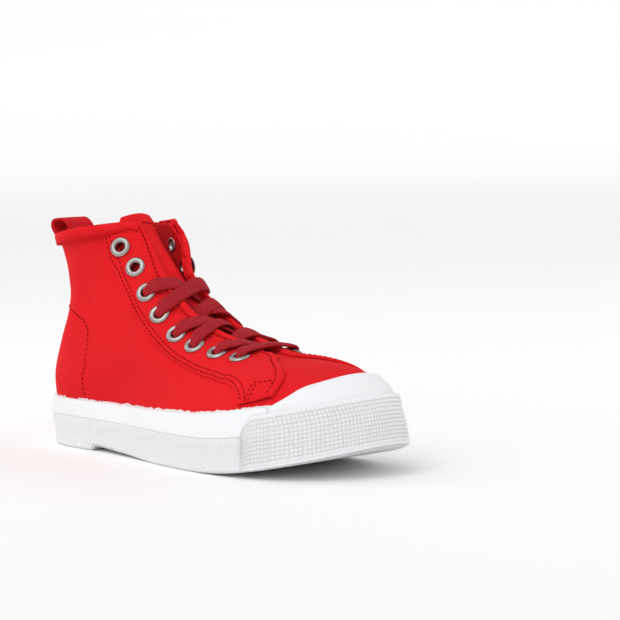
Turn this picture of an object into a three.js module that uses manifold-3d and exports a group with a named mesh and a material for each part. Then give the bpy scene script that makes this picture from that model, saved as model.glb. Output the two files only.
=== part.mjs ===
// A high canvas sneaker for the right foot, in millimetres.
// The toe points to +X, the inner (big-toe) side to +Y, and the sole stands on the plane z = 0.
import * as THREE from "three";
import { mergeVertices } from "three/addons/utils/BufferGeometryUtils.js";
import Module from "manifold-3d";

const wasm = await Module();
wasm.setup();

// Sole
const SOLE_LENGTH = 266;
const HEEL_CENTRE = 45; // x of the centre of the heel's round end
const TOE_CENTRE = 190; // x of the centre of the toe's round end, at the widest place
const TOE_SWING = 5; // how far the toe tip lies towards the inner side
const OUTSOLE_HEIGHT = 18.6;
const SPRING_START = 160; // from here forward the sole lifts off the floor
const TOE_SPRING = 17; // height of the sole's underside at the toe tip
const HEEL_BREAST = 60;
const BREAST_RUN = 3;
const ARCH_END = 125;
const ARCH_RISE = 3;
const EDGE_ROUND = 1.2; // rounding of the sole's lower edge
const SOLE_FLARE = 2; // at the floor the sole is this much smaller than at its top
const TOE_LEAN = 6.5; // at the tip the bumper leans in by this much over its height
const BUMPER_START = 209;
const BUMPER_CORNER = 8.5; // radius of the bumper's rear top corner
const BUMPER_THICKNESS = 2.4;
const FOXING_END = 226; // here the foxing runs out and the toe cap begins
const BAND_LIP = 1.7; // thickness of foxing and bumper along their top edge
const INSOLE_THICKNESS = 3;

// Upper
const LAST_INSET = 4.6; // from the sole's edge in to the upper's base
const TOE_INSET = 9.5; // the same at the toe tip
const WALL = 1.8;
const GAP = 0.35; // between neighbours that touch on the real shoe
const LAYER_GAP = 0.66; // the same under a layer with facets of its own
const COLLAR = { back: 119.5, front: 127 };
const COLLAR_CORNER = 7; // how softly collar and throat edges run into each other
const ANKLE_POINT = 1.6; // exponent of the ankle's plan shape: 1 is a wedge, 2 an ellipse
const THROAT_END = 180;
const CAP_THICKNESS = 1.3;
const CAP_RISE = 1; // from the upper's base to the cap's lower edge
const EYESTAY_THICKNESS = 1.1;
const HEM_THICKNESS = 1.6; // where the eyestay's edge is folded once more
const HEM_WIDTH = 6.5;
const BAND_THICKNESS = 0.9;
const BAND_END = 61;
const TONGUE = { top: 71, end: 187, topHalf: 17.5, middleHalf: 24, depth: 3, thickness: 2 };
const TAB = { half: 9.5, thickness: 1.4, from: 79, to: 106, bend: 27, loopBend: 42 };

// Eyelets and lace
const EYELET = { flange: 5.8, hole: 2.7, barrel: 3.2, crown: 1.1, length: 4.7, sides: 10 };
const EYELET_BORE = { radius: 4.1, sides: 6 }; // hole in the cloth, hidden under the flange
const EYELET_SEAT = LAYER_GAP + HEM_THICKNESS + GAP;
const EYELET_STATIONS = [74, 85, 97, 110, 125, 140, 157, 173];
const EYELET_SETBACK = 16; // from the flap's edge to the eyelet's centre
const FIRST_LACED = 2; // the two top pairs of eyelets are empty
const LACE = { width: 7.5, thickness: 1.5, clearance: 4.8, stagger: 0.5, steps: 7 };

// Half-widths of the sole from its long axis
const SOLE_WIDTHS = [
  { x: 45, outer: 33.4, inner: 33.4 },
  { x: 70, outer: 34.8, inner: 33 },
  { x: 95, outer: 37.8, inner: 31.2 },
  { x: 120, outer: 42.4, inner: 32.8 },
  { x: 145, outer: 46.8, inner: 38.5 },
  { x: 170, outer: 49.6, inner: 44.5 },
  { x: 190, outer: 50.8, inner: 46.5 },
];

// Height of the foxing's top edge above the sole's underside
const FOXING_TOP = [
  { x: 0, height: 28 },
  { x: 100, height: 28.5 },
  { x: 160, height: 30.5 },
  { x: 200, height: 32.5 },
  { x: 226, height: 32 },
];

// The same for the toe bumper
const BUMPER_TOP = [
  { x: 209, height: 28.5 },
  { x: 235, height: 28 },
  { x: 266, height: 26 },
];

// Top line of the foot form, and how far that line lies towards the inner side.
// Over the ankle it runs on up the shin, above the collar.
const RIDGE = [
  { x: 45, z: 166, lean: 0 },
  { x: 60, z: 146, lean: 0 },
  { x: 75, z: 129, lean: 0 },
  { x: 84, z: 118, lean: 0.5 },
  { x: 95, z: 105.5, lean: 1 },
  { x: 108, z: 92, lean: 2 },
  { x: 123, z: 80, lean: 3 },
  { x: 138, z: 71.5, lean: 3 },
  { x: 155, z: 65, lean: 3 },
  { x: 172, z: 60.5, lean: 3 },
  { x: 190, z: 57.5, lean: 2.5 },
];

// Heel and ankle by height: x of the back line, and half the width
const ANKLE = [
  { z: 18, back: 4.6, half: 29.5 },
  { z: 40, back: 3.8, half: 32 },
  { z: 60, back: 10, half: 30.5 },
  { z: 80, back: 17, half: 28.5 },
  { z: 100, back: 16, half: 27.5 },
  { z: 120, back: 9, half: 28 },
  { z: 170, back: 0, half: 30 },
];

// Fullness of the sections: exponents by height and by width
const FULLNESS = [
  { x: 90, height: 2.8, width: 2 },
  { x: 130, height: 2, width: 2 },
  { x: 165, height: 2.1, width: 2.1 },
  { x: 190, height: 2.4, width: 2.4 },
];

// Half-width of the opening between the two lace flaps
const THROAT = [
  { x: 70, half: 5.5 },
  { x: 85, half: 6 },
  { x: 100, half: 8.5 },
  { x: 125, half: 10 },
  { x: 145, half: 8 },
  { x: 160, half: 6 },
  { x: 172, half: 4 },
];

// How far the inner lace flap, which is free above the lace, leans outwards along its edge
const SPLAY = [
  { x: 60, out: 0 },
  { x: 66, out: 4 },
  { x: 72, out: 8.5 },
  { x: 78, out: 11.2 },
  { x: 84, out: 10.8 },
  { x: 90, out: 6.5 },
  { x: 96, out: 1.5 },
  { x: 101, out: 0 },
];
const SPLAY_DEPTH = 35; // from the flap's edge to where the lean begins
const SPLAY_CURVE = 1.5;
const SPLAY_WAY = { x: 0.25, y: 1 };

// The eyestay from the collar down to the foxing: each row joins a place on its front edge to one on its
// rear edge. "up" is 0 on the foxing's edge and 1 on the upper's own edge.
const EYESTAY = [
  { frontX: 76, frontUp: 1, rearX: 62, rearUp: 1 },
  { frontX: 80, frontUp: 1, rearX: 64, rearUp: 0.93 },
  { frontX: 86, frontUp: 1, rearX: 66.5, rearUp: 0.86 },
  { frontX: 93, frontUp: 1, rearX: 69.5, rearUp: 0.77 },
  { frontX: 101, frontUp: 1, rearX: 75.5, rearUp: 0.68 },
  { frontX: 111, frontUp: 1, rearX: 87, rearUp: 0.63 },
  { frontX: 124, frontUp: 1, rearX: 102, rearUp: 0.585 },
  { frontX: 139, frontUp: 1, rearX: 119, rearUp: 0.525 },
  { frontX: 154, frontUp: 1, rearX: 137, rearUp: 0.455 },
  { frontX: 168, frontUp: 1, rearX: 154, rearUp: 0.395 },
  { frontX: 181, frontUp: 0.93, rearX: 170, rearUp: 0.345 },
  { frontX: 196, frontUp: 0.84, rearX: 181, rearUp: 0.285 },
  { frontX: 207, frontUp: 0.76, rearX: 187, rearUp: 0.24 },
  { frontX: 216, frontUp: 0.67, rearX: 192, rearUp: 0.18 },
  { frontX: 223, frontUp: 0.53, rearX: 195.5, rearUp: 0.13 },
  { frontX: 228, frontUp: 0.36, rearX: 198, rearUp: 0.07 },
  { frontX: 227, frontUp: 0.18, rearX: 199.5, rearUp: 0.04 },
  { frontX: 224, frontUp: 0.03, rearX: 200, rearUp: 0.02 },
];

// Visible rear edge of the toe cap, as a share of a rib from the upper's base
const CAP_EDGE = [
  { x: 226, share: 0.2 },
  { x: 235, share: 0.25 },
  { x: 244, share: 0.31 },
  { x: 256, share: 0.34 },
  { x: 266, share: 0.37 },
];

// Centre line of the pull tab's loop, from the collar's back edge: out, over and down the inside
const TAB_LOOP = [
  { x: -4.2, z: -5 },
  { x: -9, z: 0 },
  { x: -12, z: 4 },
  { x: -11.4, z: 7.4 },
  { x: -7.5, z: 8.8 },
  { x: -2.5, z: 8.6 },
  { x: 2, z: 6 },
  { x: 5, z: 1 },
  { x: 7.2, z: -6 },
  { x: 10.4, z: -13 },
];

const OUTER = -1;
const INNER = 1;
const UP = new THREE.Vector3(0, 1, 0);

const canvas = new THREE.MeshStandardMaterial({ color: 0xe2262b, roughness: 0.9 });
const lining = new THREE.MeshStandardMaterial({ color: 0x9c1418, roughness: 0.95 });
const rubber = new THREE.MeshStandardMaterial({ color: 0xf3f4f5, roughness: 0.55 });
const cord = new THREE.MeshStandardMaterial({ color: 0xb51d2c, roughness: 0.95 });
const nickel = new THREE.MeshStandardMaterial({ color: 0xc9c6c0, roughness: 0.3, metalness: 1 });

const mix = (a, b, t) => a + (b - a) * t;
const clamp = (t) => Math.min(1, Math.max(0, t));

function smoothstep(from, to, value) {
  const t = clamp((value - from) / (to - from));
  return t * t * (3 - 2 * t);
}

// A column of a table at a place between its rows, along a smooth curve through the rows
function lookUp(table, key, column, at) {
  const last = table.length - 1;
  if (at <= table[0][key]) return table[0][column];
  if (at >= table[last][key]) return table[last][column];
  const row = table.findIndex((r) => r[key] >= at) - 1;
  const slope = (i) => {
    const low = table[Math.max(0, i - 1)];
    const high = table[Math.min(last, i + 1)];
    return (high[column] - low[column]) / (high[key] - low[key]);
  };
  const span = table[row + 1][key] - table[row][key];
  const t = (at - table[row][key]) / span;
  const [a, b] = [table[row][column], table[row + 1][column]];
  const [da, db] = [slope(row) * span, slope(row + 1) * span];
  return (
    a * (2 * t ** 3 - 3 * t * t + 1) +
    da * (t ** 3 - 2 * t * t + t) +
    b * (3 * t * t - 2 * t ** 3) +
    db * (t ** 3 - t * t)
  );
}

// A "foot" is the x at which a rib of the shoe stands on the sole's edge.
const springAt = (x) => TOE_SPRING * clamp((x - SPRING_START) / (SOLE_LENGTH - SPRING_START)) ** 2;
const toeward = (foot) => clamp((foot - TOE_CENTRE) / (SOLE_LENGTH - TOE_CENTRE));
const ridgeAt = (x) => lookUp(RIDGE, "x", "z", x);
const leanAt = (x) => lookUp(RIDGE, "x", "lean", x);
const halfWidth = (x, side) => lookUp(SOLE_WIDTHS, "x", side === OUTER ? "outer" : "inner", x);

// Height of the upper's base, just above the outsole
function baseAt(foot) {
  const x = Math.min(foot, TOE_CENTRE) + (SOLE_LENGTH - TOE_CENTRE - TOE_INSET) * toeward(foot);
  return springAt(x) + OUTSOLE_HEIGHT + GAP;
}

function undersideAt(foot) {
  if (foot <= HEEL_BREAST || foot >= ARCH_END) return springAt(foot);
  const up = (foot - HEEL_BREAST) / BREAST_RUN;
  const down = (ARCH_END - foot) / (ARCH_END - HEEL_BREAST - BREAST_RUN);
  return ARCH_RISE * Math.min(up, down);
}

// Feet of the ribs along one side, from the heel's back to the toe tip
function stations(middle) {
  const quarter = Math.PI / 2;
  const heel = Array.from({ length: 6 }, (_, i) => HEEL_CENTRE * (1 - Math.cos((i / 6) * quarter)));
  const toe = Array.from({ length: 10 }, (_, i) => mix(TOE_CENTRE, SOLE_LENGTH, Math.sin((i / 9) * quarter)));
  return [...heel, ...middle, ...toe];
}

// Once round the shoe: toe tip, inner side, heel, outer side and back to the toe tip
function goRound(feet, place) {
  const inner = [...feet].reverse().map((foot) => place(foot, INNER));
  const outer = feet.slice(1).map((foot) => place(foot, OUTER));
  return [...inner, ...outer];
}

// Round the toe only, from the outer side to the inner side
function goRoundToe(feet, place) {
  const outer = feet.map((foot) => place(foot, OUTER));
  const inner = [...feet].reverse().slice(1).map((foot) => place(foot, INNER));
  return [...outer, ...inner];
}

// Plan of the sole's edge, set in by a distance
function outline(foot, side, inset) {
  const half = halfWidth(foot, side) - inset;
  if (foot < HEEL_CENTRE) {
    const back = (HEEL_CENTRE - foot) / HEEL_CENTRE;
    return [HEEL_CENTRE - (HEEL_CENTRE - inset) * back, side * half * Math.sqrt(1 - back * back)];
  }
  const ahead = toeward(foot);
  const x = ahead > 0 ? TOE_CENTRE + (SOLE_LENGTH - TOE_CENTRE - inset) * ahead : foot;
  return [x, side * half * Math.sqrt(1 - ahead * ahead) + TOE_SWING * ahead * ahead];
}

// x at which the top line comes down to a height
function frontAt(z) {
  if (z <= ridgeAt(TOE_CENTRE)) return SOLE_LENGTH;
  let [near, far] = [HEEL_CENTRE, TOE_CENTRE];
  for (let step = 0; step < 20; step++) {
    const middle = (near + far) / 2;
    if (ridgeAt(middle) > z) near = middle;
    else far = middle;
  }
  return (near + far) / 2;
}

// Half the width of the foot form between heel centre and toe centre
function sectionHalf(x, side, z) {
  const rise = clamp((z - baseAt(x)) / (ridgeAt(x) - baseAt(x)));
  const forward = clamp((x - HEEL_CENTRE) / (frontAt(z) - HEEL_CENTRE));
  const ankleClose = (1 - forward ** ANKLE_POINT) ** (1 / ANKLE_POINT);
  const height = lookUp(FULLNESS, "x", "height", x);
  const width = lookUp(FULLNESS, "x", "width", x);
  const instepClose = (1 - rise ** height) ** (1 / width);
  const closing = mix(ankleClose, instepClose, smoothstep(62, 112, x));
  const ankleHalf = lookUp(ANKLE, "z", "half", z);
  const footHalf = halfWidth(x, side) - LAST_INSET;
  return mix(ankleHalf, footHalf, smoothstep(HEEL_CENTRE, 120, x)) * closing;
}

// The foot form: "rise" is 0 at the base and 1 on the top line
function formPoint(foot, side, rise) {
  const z = mix(baseAt(foot), ridgeAt(foot), rise);
  if (foot < HEEL_CENTRE) {
    const back = (HEEL_CENTRE - foot) / HEEL_CENTRE;
    const reach = HEEL_CENTRE - lookUp(ANKLE, "z", "back", z);
    const half = lookUp(ANKLE, "z", "half", z) * Math.sqrt(1 - back * back);
    return new THREE.Vector3(HEEL_CENTRE - reach * back, side * half, z);
  }
  if (foot <= TOE_CENTRE) {
    return new THREE.Vector3(foot, side * sectionHalf(foot, side, z) + leanAt(foot) * rise, z);
  }
  const ahead = toeward(foot);
  const full = lookUp(FULLNESS, "x", "height", foot);
  const spread = (1 - rise ** full) ** (1 / full);
  const reach = SOLE_LENGTH - TOE_CENTRE - TOE_INSET;
  const half = (halfWidth(TOE_CENTRE, side) - LAST_INSET) * Math.sqrt(1 - ahead * ahead);
  const y = (side * half + TOE_SWING * ahead * ahead) * spread + leanAt(foot) * rise;
  return new THREE.Vector3(TOE_CENTRE + reach * ahead * spread, y, z);
}

// The foot form at a height above the sole's underside, moved outwards by a distance
function hug(foot, side, height, distance) {
  const z = springAt(foot) + height;
  const rise = clamp((z - baseAt(foot)) / (ridgeAt(foot) - baseAt(foot)));
  const step = 0.4;
  const ahead = formPoint(Math.min(foot + step, SOLE_LENGTH), side, rise);
  const along = ahead.sub(formPoint(Math.max(foot - step, 0), side, rise));
  const out = new THREE.Vector3(along.y, -along.x, 0).multiplyScalar(-side).normalize();
  if (foot === 0) out.set(-1, 0, 0);
  if (foot === SOLE_LENGTH) out.set(1, 0, 0);
  return formPoint(foot, side, rise).addScaledVector(out, distance).setZ(z);
}

// A rib of the form from its base to the top line, and the length at which the upper's own edge cuts it
function makeRib(foot, side) {
  const fine = 90;
  const rises = Array.from({ length: fine + 1 }, (_, i) => Math.sin((i / fine) * (Math.PI / 2)));
  const points = rises.map((rise) => formPoint(foot, side, rise));
  const lengths = [0];
  for (let i = 1; i <= fine; i++) lengths.push(lengths[i - 1] + points[i].distanceTo(points[i - 1]));
  const reach = (level, limit) => {
    const i = points.findIndex((p, n) => level(p, rises[n]) > limit);
    if (i < 1) return lengths[fine];
    const [a, b] = [level(points[i - 1], rises[i - 1]), level(points[i], rises[i])];
    return mix(lengths[i - 1], lengths[i], (limit - a) / (b - a));
  };
  const edge = () => {
    if (foot >= THROAT_END) return lengths[fine];
    const collar = mix(COLLAR.back, COLLAR.front, smoothstep(0, 80, foot));
    const toCollar = foot < 100 ? reach((p) => p.z, collar) : lengths[fine];
    if (foot < 55) return toCollar;
    const level = (p, rise) => -Math.abs(p.y - leanAt(foot) * rise);
    const toThroat = reach(level, -lookUp(THROAT, "x", "half", foot));
    const blend = clamp(0.5 + (toThroat - toCollar) / (2 * COLLAR_CORNER));
    return mix(toThroat, toCollar, blend) - (COLLAR_CORNER / 2) * blend * (1 - blend);
  };
  const rim = edge();
  const splay = side === INNER ? lookUp(SPLAY, "x", "out", foot) : 0;
  const at = (distance) => {
    const d = Math.min(Math.max(distance, 0), lengths[fine]);
    const i = Math.max(1, lengths.findIndex((length) => length >= d));
    const t = (d - lengths[i - 1]) / (lengths[i] - lengths[i - 1]);
    const lean = splay * clamp(1 - (rim - d) / SPLAY_DEPTH) ** SPLAY_CURVE;
    const away = new THREE.Vector3(SPLAY_WAY.x, SPLAY_WAY.y, 0);
    return points[i - 1].clone().lerp(points[i], t).addScaledVector(away, lean);
  };
  const foxed = reach((p) => p.z, springAt(foot) + lookUp(FOXING_TOP, "x", "height", foot) + 1);
  return { rim, foxed, at };
}

const ribs = new Map();
function rib(foot, side) {
  const name = foot.toFixed(4) + side;
  if (!ribs.has(name)) ribs.set(name, makeRib(foot, side));
  return ribs.get(name);
}

// Moves a point along a direction onto the foot form, between heel centre and toe centre
function ontoForm(point, direction) {
  const inside = (p) => {
    const rise = clamp((p.z - baseAt(p.x)) / (ridgeAt(p.x) - baseAt(p.x)));
    const across = p.y - leanAt(p.x) * rise;
    return p.z < ridgeAt(p.x) && Math.abs(across) < sectionHalf(p.x, across < 0 ? OUTER : INNER, p.z);
  };
  let [low, high] = [-40, 30];
  for (let step = 0; step < 20; step++) {
    const middle = (low + high) / 2;
    if (inside(point.clone().addScaledVector(direction, middle))) low = middle;
    else high = middle;
  }
  return point.clone().addScaledVector(direction, (low + high) / 2);
}

function geometryOf(points, faces) {
  const geometry = new THREE.BufferGeometry();
  geometry.setAttribute("position", new THREE.Float32BufferAttribute(points.flatMap((p) => p.toArray()), 3));
  geometry.setIndex(faces.filter((face) => new Set(face).size === 3).flat());
  return geometry;
}

// A closed solid between two distances from an open sheet, given as rows of points. Points that coincide are
// joined. A distance is a number, or depends on row and column.
function thicken(rows, from, to) {
  const points = [];
  const ids = new Map();
  const idOf = (p) => {
    const name = p.toArray().map((v) => v.toFixed(3)).join();
    if (!ids.has(name)) ids.set(name, points.push(p.clone()) - 1);
    return ids.get(name);
  };
  const grid = rows.map((row) => row.map(idOf));
  const quads = grid.slice(1).flatMap((row, i) =>
    row.slice(1).map((_, j) => [grid[i][j], row[j], row[j + 1], grid[i][j + 1]]),
  );
  const faces = quads.flatMap(([a, b, c, d]) => [[a, b, c], [a, c, d]]).filter((f) => new Set(f).size === 3);
  const normals = points.map(() => new THREE.Vector3());
  for (const [a, b, c] of faces) {
    const normal = points[b].clone().sub(points[a]).cross(points[c].clone().sub(points[a]));
    for (const id of [a, b, c]) normals[id].add(normal);
  }
  const moved = (distance) => {
    const made = [];
    grid.forEach((row, i) =>
      row.forEach((id, j) => {
        const far = typeof distance === "function" ? distance(i, j) : distance;
        made[id] = points[id].clone().addScaledVector(normals[id].normalize(), far);
      }),
    );
    return made;
  };
  const below = points.length;
  const edges = new Set(faces.flatMap(([a, b, c]) => [`${a},${b}`, `${b},${c}`, `${c},${a}`]));
  const skin = [...faces, ...faces.map(([a, b, c]) => [c + below, b + below, a + below])];
  for (const edge of edges) {
    const [a, b] = edge.split(",").map(Number);
    if (edges.has(`${b},${a}`)) continue;
    skin.push([b, a, a + below], [b, a + below, b + below]);
  }
  return geometryOf([...moved(to), ...moved(from)], skin);
}

// A closed solid through sections with equal numbers of points. A section runs from its lower outer corner up,
// over and down to its lower inner corner.
function loft(sections) {
  const count = sections[0].length;
  const faces = [];
  for (let i = 0; i + 1 < sections.length; i++) {
    for (let j = 0; j < count; j++) {
      const [a, b] = [i * count + j, i * count + ((j + 1) % count)];
      faces.push([a, a + count, b + count], [a, b + count, b]);
    }
  }
  const endFaces = (section) => {
    const across = section[0].clone().sub(section[count - 1]).setZ(0).normalize();
    const flat = section.map((p) => new THREE.Vector2(p.dot(across), p.z));
    return THREE.ShapeUtils.triangulateShape(flat, []);
  };
  const last = (sections.length - 1) * count;
  faces.push(...endFaces(sections[0]));
  faces.push(...endFaces(sections.at(-1)).map(([a, b, c]) => [c + last, b + last, a + last]));
  return geometryOf(sections.flat(), faces);
}

// A closed solid through loops round the shoe, from the lowest up, closed straight across at both ends
function stack(loops) {
  const count = loops[0].length;
  const faces = [];
  for (let i = 0; i + 1 < loops.length; i++) {
    for (let j = 0; j < count; j++) {
      const [a, b] = [i * count + j, i * count + ((j + 1) % count)];
      faces.push([a, b, b + count], [a, b + count, a + count]);
    }
  }
  const across = (start) => {
    const pairs = Array.from({ length: count / 2 }, (_, j) => [
      start + j,
      start + j + 1,
      start + count - j - 1,
      start + ((count - j) % count),
    ]);
    return pairs.flatMap(([a, b, c, d]) => [[a, b, c], [a, c, d]]);
  };
  faces.push(...across(0).map((face) => face.reverse()));
  faces.push(...across((loops.length - 1) * count));
  return geometryOf(loops.flat(), faces);
}

function solidFrom(geometry) {
  const bare = new THREE.BufferGeometry();
  bare.setAttribute("position", geometry.getAttribute("position"));
  bare.setIndex(geometry.index);
  const merged = mergeVertices(bare, 1e-4);
  const vertProperties = merged.attributes.position.array;
  const triVerts = new Uint32Array(merged.index.array);
  return new wasm.Manifold(new wasm.Mesh({ numProp: 3, vertProperties, triVerts }));
}

function geometryFrom(solid) {
  const mesh = solid.getMesh();
  const geometry = new THREE.BufferGeometry();
  geometry.setAttribute("position", new THREE.BufferAttribute(mesh.vertProperties, 3));
  geometry.setIndex(new THREE.BufferAttribute(mesh.triVerts, 1));
  return geometry;
}

// How far the sole's side lies inside its widest outline, at a height above the underside
function edgeInset(foot, height) {
  const rounding = smoothstep(0, 1, toeward(foot));
  const flare = SOLE_FLARE * (1 - Math.min(1, height / OUTSOLE_HEIGHT)) * (1 - rounding);
  return flare + TOE_LEAN * rounding * (height / lookUp(BUMPER_TOP, "x", "height", foot)) ** 1.7;
}

// Outer side of foxing and bumper: the outsole's side, and above it a straight run to a thin lip on the upper
function bandPoint(foot, side, height, top, clearance) {
  const share = clamp((height - OUTSOLE_HEIGHT) / (top - OUTSOLE_HEIGHT));
  const [x, y] = outline(foot, side, edgeInset(foot, Math.min(height, OUTSOLE_HEIGHT)));
  const lip = hug(foot, side, top, clearance + BAND_LIP);
  return new THREE.Vector3(mix(x, lip.x, share), mix(y, lip.y, share), springAt(foot) + height);
}

function bumperTop(foot) {
  const into = clamp((foot - BUMPER_START) / BUMPER_CORNER);
  const rounding = BUMPER_CORNER * (1 - Math.sqrt(1 - (1 - into) ** 2));
  return lookUp(BUMPER_TOP, "x", "height", foot) - rounding;
}

function outsole() {
  const middle = [45, HEEL_BREAST, HEEL_BREAST + BREAST_RUN, 80, 95, 110, ARCH_END, 143, SPRING_START, 175];
  const feet = [...stations(middle), BUMPER_START, BUMPER_START + GAP].sort((a, b) => a - b);
  const level = (height, inset) =>
    goRound(feet, (foot, side) => {
      const recess = foot > BUMPER_START ? BUMPER_THICKNESS + GAP : 0;
      const [x, y] = outline(foot, side, edgeInset(foot, height) + recess + inset);
      const underside = foot < SPRING_START ? undersideAt(foot) : springAt(x);
      const z = Math.max(underside + Math.min(height, EDGE_ROUND), springAt(x) + height);
      return new THREE.Vector3(x, y, z);
    }).slice(0, -1);
  const middleHeight = OUTSOLE_HEIGHT / 2;
  return stack([level(0, EDGE_ROUND), level(EDGE_ROUND, 0), level(middleHeight, 0), level(OUTSOLE_HEIGHT, 0)]);
}

function foxing() {
  const corner = [0, GAP, 2, 5, 9, 12.5].map((x) => BUMPER_START + x).concat(FOXING_END);
  const sides = stations([45, 59, 79, 103, 126, 139, 152, 164, 173, THROAT_END]);
  const feet = [...sides.filter((foot) => foot < BUMPER_START - 1), ...corner];
  const section = (foot, side) => {
    const top = lookUp(FOXING_TOP, "x", "height", foot);
    const bottom = (foot > BUMPER_START ? bumperTop(foot) : OUTSOLE_HEIGHT) + GAP;
    return [
      bandPoint(foot, side, bottom, top, GAP),
      bandPoint(foot, side, top - 0.7, top, GAP),
      hug(foot, side, top, GAP + BAND_LIP - 0.7),
      hug(foot, side, top, GAP),
      hug(foot, side, (top + bottom) / 2, GAP),
      hug(foot, side, bottom, GAP),
    ];
  };
  return loft(goRound(feet, section));
}

function toeBumper() {
  const corner = [GAP, 2, 5, 9, 12.5].map((x) => BUMPER_START + x).concat(FOXING_END, FOXING_END + GAP);
  const feet = [...corner, ...stations([]).filter((foot) => foot > FOXING_END + 1)];
  const ledge = OUTSOLE_HEIGHT + GAP;
  const section = (foot, side) => {
    const top = bumperTop(foot);
    const capped = foot > FOXING_END;
    const clearance = capped ? 2 * LAYER_GAP + CAP_THICKNESS : GAP;
    const full = capped ? top : lookUp(FOXING_TOP, "x", "height", foot);
    const outside = (height) => bandPoint(foot, side, height, full, clearance);
    const behind = (height) => {
      const [x, y] = outline(foot, side, edgeInset(foot, height) + BUMPER_THICKNESS);
      return new THREE.Vector3(x, y, springAt(x) + height);
    };
    const against = hug(foot, side, ledge, clearance);
    against.setZ(springAt(against.x) + ledge);
    return [
      outside(0.5),
      outside(OUTSOLE_HEIGHT / 2),
      outside(OUTSOLE_HEIGHT),
      outside(top),
      hug(foot, side, top, clearance),
      hug(foot, side, (top + ledge) / 2, clearance),
      against,
      behind(ledge),
      behind(OUTSOLE_HEIGHT / 2),
      behind(0.5),
    ];
  };
  return loft(goRoundToe(feet, section));
}

function insole() {
  const feet = stations([45, 62, 80, 98, 116, 134, 152, 171]);
  const level = (height) =>
    goRound(feet, (foot, side) => {
      const edge = hug(foot, side, OUTSOLE_HEIGHT + GAP, -WALL - LAYER_GAP);
      return edge.setZ(springAt(edge.x) + height);
    }).slice(0, -1);
  const low = OUTSOLE_HEIGHT + GAP;
  return stack([level(low), level(low + INSOLE_THICKNESS)]);
}

// Centre of an eyelet on the foot form, and the direction out of the shoe there
function eyeletPlace(index, side) {
  const back = (foot, further) => {
    const { rim, at } = rib(foot, side);
    return at(rim - EYELET_SETBACK + further);
  };
  const foot = EYELET_STATIONS[index];
  const { flange } = EYELET;
  const forward = back(foot + flange, 0).sub(back(foot - flange, 0));
  const upward = back(foot, flange).sub(back(foot, -flange));
  return { centre: back(foot, 0), out: forward.cross(upward).multiplyScalar(-side).normalize() };
}

function withEyeletHoles(geometry, sides) {
  let solid = solidFrom(geometry);
  for (const side of sides) {
    for (const index of EYELET_STATIONS.keys()) {
      const { centre, out } = eyeletPlace(index, side);
      const { radius, sides: count } = EYELET_BORE;
      const drill = new THREE.CylinderGeometry(radius, radius, 14, count);
      drill.applyQuaternion(new THREE.Quaternion().setFromUnitVectors(UP, out));
      drill.translate(centre.x, centre.y, centre.z);
      solid = solid.subtract(solidFrom(drill));
    }
  }
  return geometryFrom(solid);
}

function upper() {
  const middle = [45, 52, 59, 66, 71, 75, 79, 85, 91, 97, 104, 114, 126, 139, 152, 164, 173, THROAT_END];
  const columns = 11;
  const rows = goRound(stations(middle), (foot, side) => {
    const { rim, at } = rib(foot, side);
    return Array.from({ length: columns + 1 }, (_, j) => at((rim * j) / columns));
  });
  return withEyeletHoles(thicken(rows, -WALL, 0), [OUTER, INNER]);
}

function toeCap() {
  const feet = [FOXING_END + 2 * GAP, ...stations([]).filter((foot) => foot > FOXING_END + 1)];
  const columns = 5;
  const rows = goRoundToe(feet, (foot, side) => {
    const { rim, at } = rib(foot, side);
    const edge = rim * lookUp(CAP_EDGE, "x", "share", foot);
    return Array.from({ length: columns + 1 }, (_, j) => at(mix(CAP_RISE, edge, j / columns)));
  });
  return thicken(rows, LAYER_GAP, LAYER_GAP + CAP_THICKNESS);
}

// The folded canvas along the collar, between the rear edges of the two eyestays
function collarBand() {
  const feet = [...stations([45, 53, BAND_END]).filter((foot) => foot <= BAND_END)];
  const rows = goRound(feet, (foot, side) => {
    const { rim, at } = rib(foot, side);
    return [at(rim - HEM_WIDTH), at(rim - HEM_WIDTH / 2), at(rim)];
  });
  return thicken(rows, LAYER_GAP, LAYER_GAP + BAND_THICKNESS);
}

function eyestay(side) {
  const place = (foot, up) => {
    const { rim, foxed, at } = rib(foot, side);
    return at(mix(foxed, rim, up));
  };
  const rows = EYESTAY.map(({ frontX, frontUp, rearX, rearUp }) => {
    const width = place(frontX, frontUp).distanceTo(place(rearX, rearUp));
    const hem = 1 - HEM_WIDTH / width;
    const shares = [0, hem * 0.35, hem * 0.7, hem - 0.03, hem, (1 + hem) / 2, 1];
    return shares.map((t) => place(mix(rearX, frontX, t), mix(rearUp, frontUp, t)));
  });
  const outside = (row, column) => LAYER_GAP + (column >= 4 ? HEM_THICKNESS : EYESTAY_THICKNESS);
  const sheet = side === OUTER ? rows : rows.reverse();
  return withEyeletHoles(thicken(sheet, LAYER_GAP, outside), [side]);
}

function tongue() {
  const { top, end, topHalf, middleHalf, depth, thickness } = TONGUE;
  const steps = 14;
  const rows = Array.from({ length: steps + 1 }, (_, i) => {
    const x = mix(top, end, i / steps);
    const slope = (ridgeAt(x + 1) - ridgeAt(x - 1)) / 2;
    const out = new THREE.Vector3(-slope, 0, 1).normalize();
    const half = mix(topHalf, middleHalf, smoothstep(top, 110, x)) * (i === 0 ? 0.85 : 1);
    return [-1, -0.75, -0.5, -0.25, 0, 0.25, 0.5, 0.75, 1].map((t) =>
      ontoForm(new THREE.Vector3(x, leanAt(x) + half * t, ridgeAt(x)), out),
    );
  });
  return thicken(rows, -depth - thickness, -depth);
}

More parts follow.
